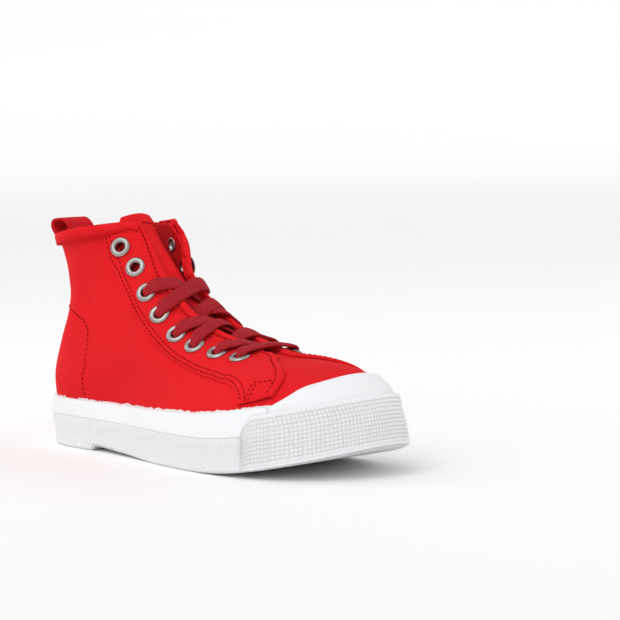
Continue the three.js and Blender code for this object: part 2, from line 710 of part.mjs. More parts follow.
// The strip up the back of the heel and its loop over the collar
function pullTab() {
  const { half, thickness, from, to, bend, loopBend } = TAB;
  const strip = [0, 1, 2, 3, 4].map((i) => {
    const z = mix(from, to, i / 4);
    return { x: lookUp(ANKLE, "z", "back", z) - LAYER_GAP - thickness / 2, z, bend };
  });
  const edge = { x: lookUp(ANKLE, "z", "back", COLLAR.back), z: COLLAR.back };
  const loop = TAB_LOOP.map(({ x, z }, i) => {
    const away = Math.sin((i / (TAB_LOOP.length - 1)) * Math.PI);
    return { x: edge.x + x, z: edge.z + z, bend: mix(bend, loopBend, away) };
  });
  const rows = [...strip, ...loop].map((step) =>
    [-1, -0.5, 0, 0.5, 1].map((t) => {
      const y = half * t;
      return new THREE.Vector3(step.x + step.bend - Math.sqrt(step.bend ** 2 - y * y), y, step.z);
    }),
  );
  return thicken(rows, -thickness / 2, thickness / 2);
}

function eyelet() {
  const { flange, hole, barrel, crown, length, sides } = EYELET;
  const profile = [
    [hole, EYELET_SEAT - length],
    [barrel, EYELET_SEAT - length],
    [barrel, EYELET_SEAT],
    [flange, EYELET_SEAT],
    [(flange + hole) / 2, EYELET_SEAT + crown],
    [hole, EYELET_SEAT + crown * 0.3],
  ].map(([radius, height]) => new THREE.Vector2(radius, height));
  return new THREE.LatheGeometry([...profile, profile[0]], sides);
}

// One stretch of lace from eyelet to eyelet, lying over the flaps
function laceStretch(start, end, clearance) {
  const out = start.out.clone().add(end.out).normalize();
  const along = end.centre.clone().sub(start.centre).normalize();
  const across = out.clone().cross(along).normalize();
  const rows = Array.from({ length: LACE.steps + 1 }, (_, i) => {
    const middle = start.centre.clone().lerp(end.centre, i / LACE.steps);
    return [-0.5, 0.5].map((t) => ontoForm(middle.clone().addScaledVector(across, t * LACE.width), out));
  });
  return solidFrom(thicken(rows, clearance, clearance + LACE.thickness));
}

function lace() {
  const last = EYELET_STATIONS.length - 1;
  let solid = laceStretch(eyeletPlace(last, OUTER), eyeletPlace(last, INNER), LACE.clearance + LACE.stagger);
  for (let index = FIRST_LACED; index < last; index++) {
    const rising = laceStretch(eyeletPlace(index, OUTER), eyeletPlace(index + 1, INNER), LACE.clearance);
    const falling = laceStretch(
      eyeletPlace(index, INNER),
      eyeletPlace(index + 1, OUTER),
      LACE.clearance + LACE.stagger,
    );
    solid = solid.add(rising).add(falling);
  }
  return geometryFrom(solid);
}

const shoe = new THREE.Group();

function add(name, geometry, material) {
  const mesh = new THREE.Mesh(geometry, material);
  mesh.name = name;
  shoe.add(mesh);
  return mesh;
}

add("outsole", outsole(), rubber);
add("foxing", foxing(), rubber);
add("toe_bumper", toeBumper(), rubber);
add("toe_cap", toeCap(), rubber);
add("insole", insole(), lining);
add("upper", upper(), canvas);
add("eyestay_outer", eyestay(OUTER), canvas);
add("eyestay_inner", eyestay(INNER), canvas);
add("collar_band", collarBand(), canvas);
add("tongue", tongue(), canvas);
add("pull_tab", pullTab(), canvas);
add("lace", lace(), cord);
for (const [name, side] of [["outer", OUTER], ["inner", INNER]]) {
  for (const index of EYELET_STATIONS.keys()) {
    const { centre, out } = eyeletPlace(index, side);
    const ring = add(`eyelet_${name}_${index + 1}`, eyelet(), nickel);
    ring.position.copy(centre);
    ring.quaternion.setFromUnitVectors(UP, out);
  }
}

// The origin is the middle of the shoe's underside.
const box = new THREE.Box3().setFromObject(shoe);
const middle = box.getCenter(new THREE.Vector3());
shoe.position.set(-middle.x, -middle.y, -box.min.z);

export default shoe;
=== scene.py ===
from bisect import bisect_right
import math
import bmesh
import bpy
from mathutils import Matrix, Vector, noise


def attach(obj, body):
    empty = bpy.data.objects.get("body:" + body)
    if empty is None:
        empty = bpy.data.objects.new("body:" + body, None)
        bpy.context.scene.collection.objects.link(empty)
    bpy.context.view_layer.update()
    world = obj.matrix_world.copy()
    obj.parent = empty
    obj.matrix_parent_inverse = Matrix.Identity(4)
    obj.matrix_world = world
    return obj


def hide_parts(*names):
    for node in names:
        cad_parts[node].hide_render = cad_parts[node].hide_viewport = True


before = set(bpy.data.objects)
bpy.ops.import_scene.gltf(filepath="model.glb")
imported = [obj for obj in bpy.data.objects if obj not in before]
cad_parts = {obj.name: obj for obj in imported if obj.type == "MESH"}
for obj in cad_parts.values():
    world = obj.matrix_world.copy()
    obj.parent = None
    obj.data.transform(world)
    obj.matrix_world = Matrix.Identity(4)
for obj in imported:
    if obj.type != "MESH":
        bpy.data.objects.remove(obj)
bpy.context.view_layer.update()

# The shoe is worked out in millimetres from the back of its heel, toe to +X and inner side to +Y.
# SHIFT moves it to the frame's origin.
SHIFT = Vector((-131.223, 2.150, 0))

SOLE_LENGTH = 266
HEEL_CENTRE = 45
TOE_CENTRE = 190
TOE_SWING = 5
OUTSOLE_HEIGHT = 18.6
SPRING_START = 160
TOE_SPRING = 17
HEEL_BREAST = 60
BREAST_RUN = 3
ARCH_END = 125
ARCH_RISE = 3
EDGE_ROUND = 1.2
SOLE_FLARE = 2
TOE_LEAN = 6.5  # how far the bumper leans in at the tip
BUMPER_START = 209
BUMPER_CORNER = 8.5
BUMPER_THICKNESS = 2.4
FOXING_END = 226
BAND_LIP = 1.7
INSOLE_THICKNESS = 3
LAST_INSET = 4.6  # from the sole's edge in to the upper's base
TOE_INSET = 9.5  # the same at the toe tip
WALL = 1.8
GAP = 0.35  # between the solids
LAYER_GAP = 0.66  # the same under an overlay
COLLAR_BACK, COLLAR_FRONT = 119.5, 127
COLLAR_CORNER = 7
ANKLE_POINT = 1.6
THROAT_END = 180
CAP_THICKNESS = 1.3
CAP_RISE = 1  # from the upper's base to the cap's lower edge
EYESTAY_THICKNESS = 1.1
HEM_WIDTH = 6.5
EYELET_FEET = (74, 85, 97, 110, 125, 140, 157, 173)
EYELET_SETBACK = 16
EYELET_FLANGE = 5.8
EYELET_BORE = 4.1
LACE_WIDTH = 9
LACE_HALF_THICKNESS = 1.05
BUMPER_LOW = 0.5  # lower edge of the bumper above the sole's underside
STUD_HEIGHT = 0.9
STUD_ROWS = 12
TAB_HALF, TAB_THICKNESS = 9.5, 1.4
TAB_HEIGHTS = (79, 86, 93, 100, 106)
TAB_BEND, TAB_LOOP_BEND = 27, 42  # radii of the strip and of its loop round the heel
TONGUE_TOP, TONGUE_END = 70.2, 187
TONGUE_HALF_TOP, TONGUE_HALF = 17.5, 24
TONGUE_DEPTH, TONGUE_THICKNESS = 3.0, 1.9
FOLD_THICKNESS = 0.5  # of one layer of canvas round a hem
COLLAR_STITCHES = 4.4
STITCH_PITCH, STITCH_LENGTH, STITCH_HALF_WIDTH, STITCH_HALF_HEIGHT = 2.8, 2.0, 0.44, 0.36
OUTER, INNER = -1, 1

SOLE_WIDTHS = {
    OUTER: ((45, 33.4), (70, 34.8), (95, 37.8), (120, 42.4), (145, 46.8), (170, 49.6), (190, 50.8)),
    INNER: ((45, 33.4), (70, 33), (95, 31.2), (120, 32.8), (145, 38.5), (170, 44.5), (190, 46.5)),
}
FOXING_TOP = ((0, 28), (100, 28.5), (160, 30.5), (200, 32.5), (226, 32))
BUMPER_TOP = ((209, 28.5), (235, 28), (266, 26))
RIDGE_HEIGHT = ((45, 166), (60, 146), (75, 129), (84, 118), (95, 105.5), (108, 92), (123, 80), (138, 71.5),
                (155, 65), (172, 60.5), (190, 57.5))
RIDGE_LEAN = ((45, 0), (60, 0), (75, 0), (84, 0.5), (95, 1), (108, 2), (123, 3), (138, 3), (155, 3), (172, 3),
              (190, 2.5))
ANKLE_BACK = ((18, 4.6), (40, 3.8), (60, 10.8), (80, 19.2), (100, 18), (120, 9.4), (170, 0))
ANKLE_HALF = ((18, 29.5), (40, 32), (60, 29.7), (80, 26.4), (100, 26), (120, 27.6), (170, 30))
FULL_HEIGHT = ((90, 2.8), (130, 2), (165, 2.1), (190, 2.4))
FULL_WIDTH = ((90, 2), (130, 2), (165, 2.1), (190, 2.4))
THROAT_HALF = ((70, 5.5), (85, 6), (100, 8.5), (125, 10), (145, 8), (160, 6), (172, 4))
CAP_EDGE = ((226, 0.2), (235, 0.25), (244, 0.31), (256, 0.34), (266, 0.37))

# Eyestay rows: front foot, front "up", rear foot, rear "up"
EYESTAY = ((76, 1, 62, 1), (80, 1, 64, 0.93), (86, 1, 66.5, 0.86), (93, 1, 69.5, 0.77), (101, 1, 75.5, 0.68),
           (111, 1, 87, 0.63), (124, 1, 102, 0.585), (139, 1, 119, 0.525), (154, 1, 137, 0.455),
           (168, 1, 154, 0.395), (181, 0.94, 170, 0.345), (195, 0.86, 181, 0.29), (208, 0.78, 188.5, 0.24),
           (218.5, 0.69, 194, 0.185), (226.5, 0.57, 198, 0.13), (231.5, 0.43, 200.5, 0.08),
           (232.5, 0.26, 201.5, 0.045), (227, 0.05, 202, 0.02))
# How far the inner lace flap leans outwards along its edge
SPLAY = ((60, 0), (66, 4), (72, 8.5), (78, 11.2), (84, 10.8), (90, 6.5), (96, 1.5), (101, 0))
SPLAY_DEPTH = 35
SPLAY_CURVE = 1.5
SPLAY_WAY = Vector((0.25, 1, 0))
# Pull tab loop from the collar's back edge: out, over and down the inside
TAB_LOOP = ((-4.2, -5), (-9, 0), (-12, 4), (-11.4, 7.4), (-7.5, 8.8), (-2.5, 8.6), (2, 6), (5, 1), (7.2, -6),
            (10.4, -13))


# Form of the shoe

def mix(a, b, t):
    return a + (b - a) * t


def clamp(t, low=0.0, high=1.0):
    return min(high, max(low, t))


def smoothstep(low, high, value):
    t = clamp((value - low) / (high - low))
    return t * t * (3 - 2 * t)


def look_up(table, at):
    """A smooth curve through (place, value) rows."""
    if at <= table[0][0]:
        return table[0][1]
    if at >= table[-1][0]:
        return table[-1][1]
    row = next(i for i, (place, _) in enumerate(table) if place >= at) - 1
    last = len(table) - 1

    def slope(i):
        low, high = table[max(0, i - 1)], table[min(last, i + 1)]
        return (high[1] - low[1]) / (high[0] - low[0])

    span = table[row + 1][0] - table[row][0]
    t = (at - table[row][0]) / span
    a, b, da, db = table[row][1], table[row + 1][1], slope(row) * span, slope(row + 1) * span
    return (a * (2 * t ** 3 - 3 * t * t + 1) + da * (t ** 3 - 2 * t * t + t)
            + b * (3 * t * t - 2 * t ** 3) + db * (t ** 3 - t * t))


def lengths_along(points):
    lengths = [0.0]
    for a, b in zip(points, points[1:]):
        lengths.append(lengths[-1] + (b - a).length)
    return lengths


def close_in(low, high, steps, short):
    """Halves the way between two numbers until it closes on the one up to which short is true."""
    for _ in range(steps):
        middle = (low + high) / 2
        if short(middle):
            low = middle
        else:
            high = middle
    return (low + high) / 2


def spring_at(x):
    return TOE_SPRING * clamp((x - SPRING_START) / (SOLE_LENGTH - SPRING_START)) ** 2


def toeward(foot):
    return clamp((foot - TOE_CENTRE) / (SOLE_LENGTH - TOE_CENTRE))


def ridge_at(x):
    return look_up(RIDGE_HEIGHT, x)


def lean_at(x):
    return look_up(RIDGE_LEAN, x)


def half_width(x, side):
    return look_up(SOLE_WIDTHS[side], x)


def base_at(foot):
    x = min(foot, TOE_CENTRE) + (SOLE_LENGTH - TOE_CENTRE - TOE_INSET) * toeward(foot)
    return spring_at(x) + OUTSOLE_HEIGHT + GAP


def underside_at(foot):
    if foot <= HEEL_BREAST or foot >= ARCH_END:
        return spring_at(foot)
    up = (foot - HEEL_BREAST) / BREAST_RUN
    down = (ARCH_END - foot) / (ARCH_END - HEEL_BREAST - BREAST_RUN)
    return ARCH_RISE * min(up, down)


def outline(foot, side, inset):
    half = half_width(foot, side) - inset
    if foot < HEEL_CENTRE:
        back = (HEEL_CENTRE - foot) / HEEL_CENTRE
        return HEEL_CENTRE - (HEEL_CENTRE - inset) * back, side * half * math.sqrt(1 - back * back)
    ahead = toeward(foot)
    x = TOE_CENTRE + (SOLE_LENGTH - TOE_CENTRE - inset) * ahead if ahead > 0 else foot
    return x, side * half * math.sqrt(1 - ahead * ahead) + TOE_SWING * ahead * ahead


def front_at(z):
    if z <= ridge_at(TOE_CENTRE):
        return SOLE_LENGTH
    return close_in(HEEL_CENTRE, TOE_CENTRE, 20, lambda x: ridge_at(x) > z)


FRONTS = [front_at(step / 2) for step in range(400)]


def front_near(z):
    step = clamp(z * 2, 0, 398)
    low = int(step)
    if FRONTS[low] == SOLE_LENGTH:
        return front_at(z)
    return mix(FRONTS[low], FRONTS[low + 1], step - low)


def section_half(x, side, z):
    rise = clamp((z - base_at(x)) / (ridge_at(x) - base_at(x)))
    forward = clamp((x - HEEL_CENTRE) / (front_near(z) - HEEL_CENTRE))
    ankle_close = (1 - forward ** ANKLE_POINT) ** (1 / ANKLE_POINT)
    instep_close = (1 - rise ** look_up(FULL_HEIGHT, x)) ** (1 / look_up(FULL_WIDTH, x))
    closing = mix(ankle_close, instep_close, smoothstep(62, 112, x))
    foot_half = half_width(x, side) - LAST_INSET
    return mix(look_up(ANKLE_HALF, z), foot_half, smoothstep(HEEL_CENTRE, 120, x)) * closing


def form_point(foot, side, rise):
    z = mix(base_at(foot), ridge_at(foot), rise)
    if foot < HEEL_CENTRE:
        back = (HEEL_CENTRE - foot) / HEEL_CENTRE
        reach = HEEL_CENTRE - look_up(ANKLE_BACK, z)
        return Vector((HEEL_CENTRE - reach * back, side * look_up(ANKLE_HALF, z) * math.sqrt(1 - back * back), z))
    if foot <= TOE_CENTRE:
        return Vector((foot, side * section_half(foot, side, z) + lean_at(foot) * rise, z))
    ahead = toeward(foot)
    full = look_up(FULL_HEIGHT, foot)
    spread = (1 - rise ** full) ** (1 / full)
    reach = SOLE_LENGTH - TOE_CENTRE - TOE_INSET
    half = (half_width(TOE_CENTRE, side) - LAST_INSET) * math.sqrt(1 - ahead * ahead)
    y = (side * half + TOE_SWING * ahead * ahead) * spread + lean_at(foot) * rise
    return Vector((TOE_CENTRE + reach * ahead * spread, y, z))


def hug(foot, side, height, distance):
    z = spring_at(foot) + height
    rise = clamp((z - base_at(foot)) / (ridge_at(foot) - base_at(foot)))
    ahead = form_point(min(foot + 0.4, SOLE_LENGTH), side, rise)
    along = ahead - form_point(max(foot - 0.4, 0), side, rise)
    out = Vector((along.y, -along.x, 0)) * -side
    if foot == 0:
        out = Vector((-1, 0, 0))
    if foot == SOLE_LENGTH:
        out = Vector((1, 0, 0))
    point = form_point(foot, side, rise) + out.normalized() * distance
    point.z = z
    return point


class Rib:
    """A rib of the foot form from its base to the top line, with the length at which the upper's edge cuts it."""

    def __init__(self, foot, side):
        fine = 90
        self.splay = look_up(SPLAY, foot) if side == INNER else 0.0
        rises = [math.sin(i / fine * math.pi / 2) for i in range(fine + 1)]
        self.points = [form_point(foot, side, rise) for rise in rises]
        self.lengths = lengths_along(self.points)
        self.whole = self.lengths[-1]
        heights = [p.z for p in self.points]
        self.foxed = self.reach(heights, spring_at(foot) + look_up(FOXING_TOP, foot) + 1)
        self.rim = self.whole
        if foot < THROAT_END:
            collar = mix(COLLAR_BACK, COLLAR_FRONT, smoothstep(0, 80, foot))
            to_collar = self.reach(heights, collar) if foot < 100 else self.whole
            self.rim = to_collar
            if foot >= 55:
                lean = lean_at(foot)
                level = [-abs(p.y - lean * rise) for p, rise in zip(self.points, rises)]
                to_throat = self.reach(level, -look_up(THROAT_HALF, foot))
                blend = clamp(0.5 + (to_throat - to_collar) / (2 * COLLAR_CORNER))
                self.rim = mix(to_throat, to_collar, blend) - COLLAR_CORNER / 2 * blend * (1 - blend)

    def reach(self, values, limit):
        for i, value in enumerate(values):
            if value > limit:
                if i == 0:
                    return self.whole
                t = (limit - values[i - 1]) / (value - values[i - 1])
                return mix(self.lengths[i - 1], self.lengths[i], t)
        return self.whole

    def at(self, distance):
        d = clamp(distance, 0, self.whole)
        high = min(bisect_right(self.lengths, d), len(self.lengths) - 1)
        low = high - 1
        t = (d - self.lengths[low]) / (self.lengths[high] - self.lengths[low])
        lean = self.splay * clamp(1 - (self.rim - d) / SPLAY_DEPTH) ** SPLAY_CURVE
        return self.points[low].lerp(self.points[high], t) + SPLAY_WAY * lean


RIBS = {}


def rib(foot, side):
    name = (round(foot, 4), side)
    if name not in RIBS:
        RIBS[name] = Rib(foot, side)
    return RIBS[name]


class Spot:
    """A place along one side, between two ribs a millimetre apart."""

    def __init__(self, foot, side):
        low = int(math.floor(foot))
        self.t = foot - low
        self.a, self.b = rib(low, side), rib(min(low + 1, SOLE_LENGTH), side)
        self.rim = mix(self.a.rim, self.b.rim, self.t)
        self.foxed = mix(self.a.foxed, self.b.foxed, self.t)

    def at(self, distance):
        return self.a.at(distance).lerp(self.b.at(distance), self.t)


def facing(foot, side, distance):
    """Direction out of the shoe at a place on the foot form."""
    here = Spot(foot, side).at(distance)
    forward = Spot(foot + 0.7, side).at(distance) - here
    upward = Spot(foot, side).at(distance + 0.7) - here
    return (forward.cross(upward) * -side).normalized()


def onto_form(point, direction):
    def inside(way):
        p = point + direction * way
        rise = clamp((p.z - base_at(p.x)) / (ridge_at(p.x) - base_at(p.x)))
        across = p.y - lean_at(p.x) * rise
        return p.z < ridge_at(p.x) and abs(across) < section_half(p.x, OUTER if across < 0 else INNER, p.z)

    return point + direction * close_in(-40.0, 30.0, 22, inside)


def eyelet_place(index, side):
    def back(foot, further):
        spot = Spot(foot, side)
        return spot.at(spot.rim - EYELET_SETBACK + further)

    foot = EYELET_FEET[index]
    forward = back(foot + EYELET_FLANGE, 0) - back(foot - EYELET_FLANGE, 0)
    upward = back(foot, EYELET_FLANGE) - back(foot, -EYELET_FLANGE)
    return back(foot, 0), (forward.cross(upward) * -side).normalized()


EYELETS = {(index, side): eyelet_place(index, side) for index in range(8) for side in (OUTER, INNER)}


def feet_along(heel, step, toe, start=0.0, end=SOLE_LENGTH, extra=()):
    """Feet of ribs along one side, with extra ones where a form changes quickly."""
    feet = [HEEL_CENTRE * (1 - math.cos(i / heel * math.pi / 2)) for i in range(heel)]
    count = round((TOE_CENTRE - HEEL_CENTRE) / step)
    feet += [mix(HEEL_CENTRE, TOE_CENTRE, i / count) for i in range(count)]
    feet += [mix(TOE_CENTRE, SOLE_LENGTH, math.sin(i / toe * math.pi / 2)) for i in range(toe + 1)]
    return sorted({round(f, 4) for f in (*feet, *extra) if start <= f <= end})


def go_round(feet, place):
    """Toe tip, inner side, heel, outer side and back to the toe tip."""
    return [place(f, INNER) for f in feet[::-1]] + [place(f, OUTER) for f in feet[1:]]


def go_round_toe(feet, place):
    return [place(f, OUTER) for f in feet] + [place(f, INNER) for f in feet[-2::-1]]


# Mesh work

def net(lines, lifts=None):
    """A grid of faces laid through lines of points. Lifts move it along its normals, one per line and point."""
    rows, columns = len(lines) - 1, len(lines[0]) - 1
    bm = bmesh.new()
    bmesh.ops.create_grid(bm, x_segments=rows, y_segments=columns, size=0.5)
    line_layer = bm.verts.layers.int.new("line")
    place_layer = bm.verts.layers.int.new("place")
    length_u = lengths_along([line[columns // 2] for line in lines])
    length_v = [lengths_along(line) for line in lines]
    for v in bm.verts:
        v[line_layer] = round((v.co.x + 0.5) * rows)
        v[place_layer] = round((v.co.y + 0.5) * columns)
    cloth = bm.loops.layers.uv.new("cloth")
    for face in bm.faces:
        face.smooth = True
        for loop in face.loops:
            i, j = loop.vert[line_layer], loop.vert[place_layer]
            loop[cloth].uv = (length_u[i] / 1000, length_v[i][j] / 1000)
    for v in bm.verts:
        v.co = (lines[v[line_layer]][v[place_layer]] + SHIFT) / 1000
    bmesh.ops.remove_doubles(bm, verts=bm.verts, dist=2e-6)
    if lifts:
        bm.normal_update()
        moved = [(v, v.normal * lifts(v[line_layer], v[place_layer]) / 1000) for v in bm.verts]
        for v, move in moved:
            v.co += move
    bm.normal_update()
    return bm


def cut_eyelet_holes(bm):
    holes = [(centre + SHIFT) / 1000 for centre, _ in EYELETS.values()]

    def in_hole(face):
        middle = face.calc_center_median()
        return any((middle - hole).length < EYELET_BORE / 1000 for hole in holes)

    bmesh.ops.delete(bm, geom=[face for face in bm.faces if in_hole(face)], context="FACES")


def close_holes(bm):
    bmesh.ops.holes_fill(bm, edges=[e for e in bm.edges if e.is_boundary], sides=0)


def turned(profile, steps, near, closed=False):
    """Radii and heights in metres, turned round an upright axis. Points nearer than near are joined."""
    bm = bmesh.new()
    verts = [bm.verts.new((radius, 0, height)) for radius, height in profile]
    pairs = list(zip(verts, verts[1:])) + ([(verts[-1], verts[0])] if closed else [])
    bmesh.ops.spin(bm, geom=verts + [bm.edges.new(pair) for pair in pairs], cent=(0, 0, 0), axis=(0, 0, 1),
                   angle=2 * math.pi, steps=steps, use_merge=True)
    bmesh.ops.remove_doubles(bm, verts=bm.verts, dist=near)
    bmesh.ops.recalc_face_normals(bm, faces=bm.faces)
    smooth(bm)
    return bm


def smooth(bm):
    for face in bm.faces:
        face.smooth = True


def mesh_of(name, bm, finishes=()):
    mesh = bpy.data.meshes.new(name)
    bm.to_mesh(mesh)
    bm.free()
    for finish in finishes:
        mesh.materials.append(finish)
    return mesh


def gather(joined, bm):
    """Adds a small thing's mesh to the joined mesh of its kind."""
    one = mesh_of("one", bm)
    joined.from_mesh(one)
    bpy.data.meshes.remove(one)


def add_object(name, data):
    obj = bpy.data.objects.new(name, data)
    bpy.context.scene.collection.objects.link(obj)
    return obj


def piece(name, bm, finishes, nodes, thickness=0, inner=0):
    """One piece of the shoe. Its thickness goes inwards, and inner is the place of the inside's finish."""
    obj = add_object(name, mesh_of(name, bm, finishes))
    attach(obj, "root")
    if nodes:
        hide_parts(*nodes)
    if thickness:
        solid = obj.modifiers.new("thickness", "SOLIDIFY")
        solid.thickness = thickness / 1000
        solid.offset = -1
        solid.material_offset = inner


# Shader work

class Reading:
    """A number that varies over a surface."""

    def __init__(self, finish, socket):
        self.finish = finish
        self.socket = socket

    def __add__(self, other):
        return self.finish.sum("ADD", self, other)

    def __radd__(self, other):
        return self.finish.sum("ADD", other, self)

    def __sub__(self, other):
        return self.finish.sum("SUBTRACT", self, other)

    def __rsub__(self, other):
        return self.finish.sum("SUBTRACT", other, self)

    def __mul__(self, other):
        return self.finish.sum("MULTIPLY", self, other)

    def __rmul__(self, other):
        return self.finish.sum("MULTIPLY", other, self)

    def __truediv__(self, other):
        return self.finish.sum("DIVIDE", self, other)

    def __pow__(self, other):
        return self.finish.sum("POWER", self, other)


class Finish:
    """A material and the nodes that make it."""

    def __init__(self, name):
        self.material = bpy.data.materials.new(name)
        self.material.use_nodes = True
        self.tree = self.material.node_tree
        self.shader = self.tree.nodes["Principled BSDF"]

    def node(self, kind, settings=None, **inputs):
        made = self.tree.nodes.new(kind)
        for key, value in (settings or {}).items():
            setattr(made, key, value)
        self.fill(made, inputs)
        return made

    def fill(self, node, inputs):
        for key, value in inputs.items():
            numbered = key[0] == "i" and key[1:].isdigit()
            self.put(node.inputs[int(key[1:]) if numbered else key.replace("_", " ")], value)

    def look(self, **inputs):
        self.fill(self.shader, inputs)

    def put(self, socket, value):
        if isinstance(value, Reading):
            self.tree.links.new(value.socket, socket)
        elif isinstance(value, bpy.types.NodeSocket):
            self.tree.links.new(value, socket)
        else:
            socket.default_value = value

    def sum(self, operation, a, b=0.0, c=0.0):
        made = self.node("ShaderNodeMath", {"operation": operation}, i0=a, i1=b, i2=c)
        return Reading(self, made.outputs[0])

    def sine(self, a):
        return self.sum("SINE", a)

    def limit(self, a):
        return self.sum("MINIMUM", self.sum("MAXIMUM", a, 0.0), 1.0)

    def step(self, value, low, high):
        made = self.node("ShaderNodeMapRange", {"interpolation_type": "SMOOTHSTEP"}, Value=value, From_Min=low,
                         From_Max=high)
        return Reading(self, made.outputs[0])

    def place(self):
        """Object coordinates in millimetres, and the surface's direction."""
        coordinates = self.node("ShaderNodeTexCoord")
        x, y, z = self.parts(coordinates.outputs["Object"])
        return (x * 1000, y * 1000, z * 1000), self.parts(coordinates.outputs["Normal"])

    def parts(self, socket):
        split = self.node("ShaderNodeSeparateXYZ", Vector=socket)
        return [Reading(self, out) for out in split.outputs]

    def cloth(self):
        """Millimetres along and across the piece."""
        u, v, _ = self.parts(self.node("ShaderNodeUVMap", {"uv_map": "cloth"}).outputs[0])
        return u * 1000, v * 1000

    def speckle(self, scale, detail=3.0, roughness=0.5, vector=None):
        """Soft noise about 1000 / scale millimetres across."""
        vector = vector or self.node("ShaderNodeTexCoord").outputs["Object"]
        made = self.node("ShaderNodeTexNoise", None, Vector=vector, Scale=scale, Detail=detail, Roughness=roughness)
        return Reading(self, made.outputs[0])

    def blend(self, mask, first, second):
        return self.node("ShaderNodeMix", {"data_type": "RGBA"}, i0=mask, i6=first, i7=second).outputs[2]

    def relief(self, height, depth, strength=1.0):
        """A bump of a depth in millimetres."""
        bump = self.node("ShaderNodeBump", None, Strength=strength, Distance=depth / 1000, Height=height)
        self.look(Normal=bump.outputs[0])

    def attribute(self, name):
        return Reading(self, self.node("ShaderNodeAttribute", {"attribute_name": name}).outputs["Fac"])


def colour(red, green, blue):
    return (red, green, blue, 1.0)


def woven(name, light, dark, pitch, depth, latex=False):
    """Plain-woven cotton whose threads keep their pitch on every face of the shoe."""
    f = Finish(name)
    (x, y, z), facing_parts = f.place()
    turn = 2 * math.pi / pitch
    waves = [f.sine(c * turn) for c in (x, y, z)]
    weights = [f.sum("ABSOLUTE", n) ** 3 for n in facing_parts]
    total = weights[0] + weights[1] + weights[2]
    weave = (waves[1] * waves[2] * weights[0] + waves[0] * waves[2] * weights[1] + waves[0] * waves[1] * weights[2])
    weave = weave / total
    slubs = f.speckle(900, 2)
    cloud = f.speckle(14, 3)
    threads = f.speckle(430, 2)
    # The weave term paints light on the threads' crests and shade in their hollows; cloud, slubs and threads are
    # random tone of the yarn.
    shade = 0.6 + (cloud - 0.5) * 0.6 + (slubs - 0.5) * 0.7 + (threads - 0.5) * 0.25 + weave * 0.25
    surface = f.blend(f.limit(shade), dark, light)
    roughness = 0.82 + (slubs - 0.5) * 0.2
    if latex:
        height = f.attribute("above_rubber")
        ragged = f.speckle(260, 4, 0.7) * 3.4 + f.speckle(60, 2) * 2.4 - 2.3
        smear = f.step(ragged - height, -0.12, 0.2)
        surface = f.blend(smear, surface, colour(0.86, 0.85, 0.85))
        roughness = roughness - smear * 0.3
    f.look(Base_Color=surface, Roughness=roughness, Sheen_Weight=0.05, Sheen_Roughness=0.5, Sheen_Tint=light,
           Specular_IOR_Level=0.12)
    f.relief(weave * 0.7 + slubs * 0.7 + threads * 0.15, depth, 0.7)
    return f.material


def moulded(name, pattern):
    """White rubber, smooth or with a moulded pattern."""
    f = Finish(name)
    grime = f.speckle(38, 5, 0.6)
    grain = f.speckle(700, 2)
    height = grain * 0.12
    # Random grime blotches darken the rubber; each moulded pattern below adds painted shade in its grooves to this
    # mask.
    grime_and_painted_shade = f.step(grime, 0.62, 0.82) * 0.25
    if pattern == "diamonds":
        u, v = f.cloth()
        turn = 2 * math.pi / 6
        lines = f.sum("ABSOLUTE", f.sine((u + v * 0.9) * turn) * f.sine((u - v * 0.9) * turn)) ** 0.6
        height = height + lines * 1.4
        # Painted shade: darker along the grooves between the raised diamonds.
        grime_and_painted_shade = grime_and_painted_shade * 0.3 + f.step(0 - lines, -0.45, -0.1) * 0.13
    if pattern == "studs":
        # Painted shade: darker in the grooves between the bumper's studs.
        grime_and_painted_shade = grime_and_painted_shade * 0.5 + f.step(f.attribute("painted_groove_shade"), 0.4, 1.0) * 0.55
    if pattern == "tread":
        (x, y, _), _ = f.place()
        turn = 2 * math.pi / 7.0
        lines = f.step(f.sine((x + y) * turn) * f.sine((x - y) * turn), -0.15, 0.15)
        height = height + lines * 1.5
        # Painted shade: darker on the low parts of the tread.
        grime_and_painted_shade = grime_and_painted_shade + (1 - lines) * 0.35
    f.look(Base_Color=f.blend(f.sum("MINIMUM", grime_and_painted_shade, 1.0), colour(0.83, 0.84, 0.86), colour(0.6, 0.58, 0.54)),
           Roughness=0.42 + grime * 0.18, Specular_IOR_Level=0.4)
    f.relief(height, 0.35, 0.8)
    return f.material


def braided(name, light, dark):
    """Flat braided lace: ribs that slant from both edges to the middle."""
    f = Finish(name)
    u, v = f.cloth()
    slanted = u + f.sum("ABSOLUTE", f.sum("PINGPONG", v, 2.1) - 1.05) * 1.2
    ribs = f.sine(slanted * (2 * math.pi / 1.6))
    strands = f.sine(v * (2 * math.pi / 1.8))
    slubs = f.speckle(1100, 2)
    # The rib and strand terms paint light on the braid's crests and shade between them; the slub term is random tone
    # of the yarn.
    shade = 0.55 + ribs * 0.28 + strands * 0.14 + (slubs - 0.5) * 0.8
    f.look(Base_Color=f.blend(f.limit(shade), dark, light), Roughness=0.75 + (slubs - 0.5) * 0.3,
           Sheen_Weight=0.15, Sheen_Tint=light, Specular_IOR_Level=0.25)
    f.relief(ribs * 0.8 + strands * 0.5 + slubs * 0.4, 0.4, 1.0)
    return f.material


def plated(name):
    """Satin nickel with fine scratches."""
    f = Finish(name)
    scuffs = f.speckle(500, 5, 0.7)
    f.look(Base_Color=f.blend(scuffs, colour(0.24, 0.23, 0.215), colour(0.5, 0.49, 0.465)),
           Roughness=0.24 + scuffs * 0.2, Metallic=1.0)
    f.relief(scuffs, 0.03, 0.3)
    return f.material


def spun(name, light, dark):
    """Twisted sewing thread."""
    f = Finish(name)
    slubs = f.speckle(1500, 2)
    f.look(Base_Color=f.blend(slubs, dark, light), Roughness=0.75 + slubs * 0.2, Specular_IOR_Level=0.1)
    f.relief(slubs, 0.1, 0.5)
    return f.material


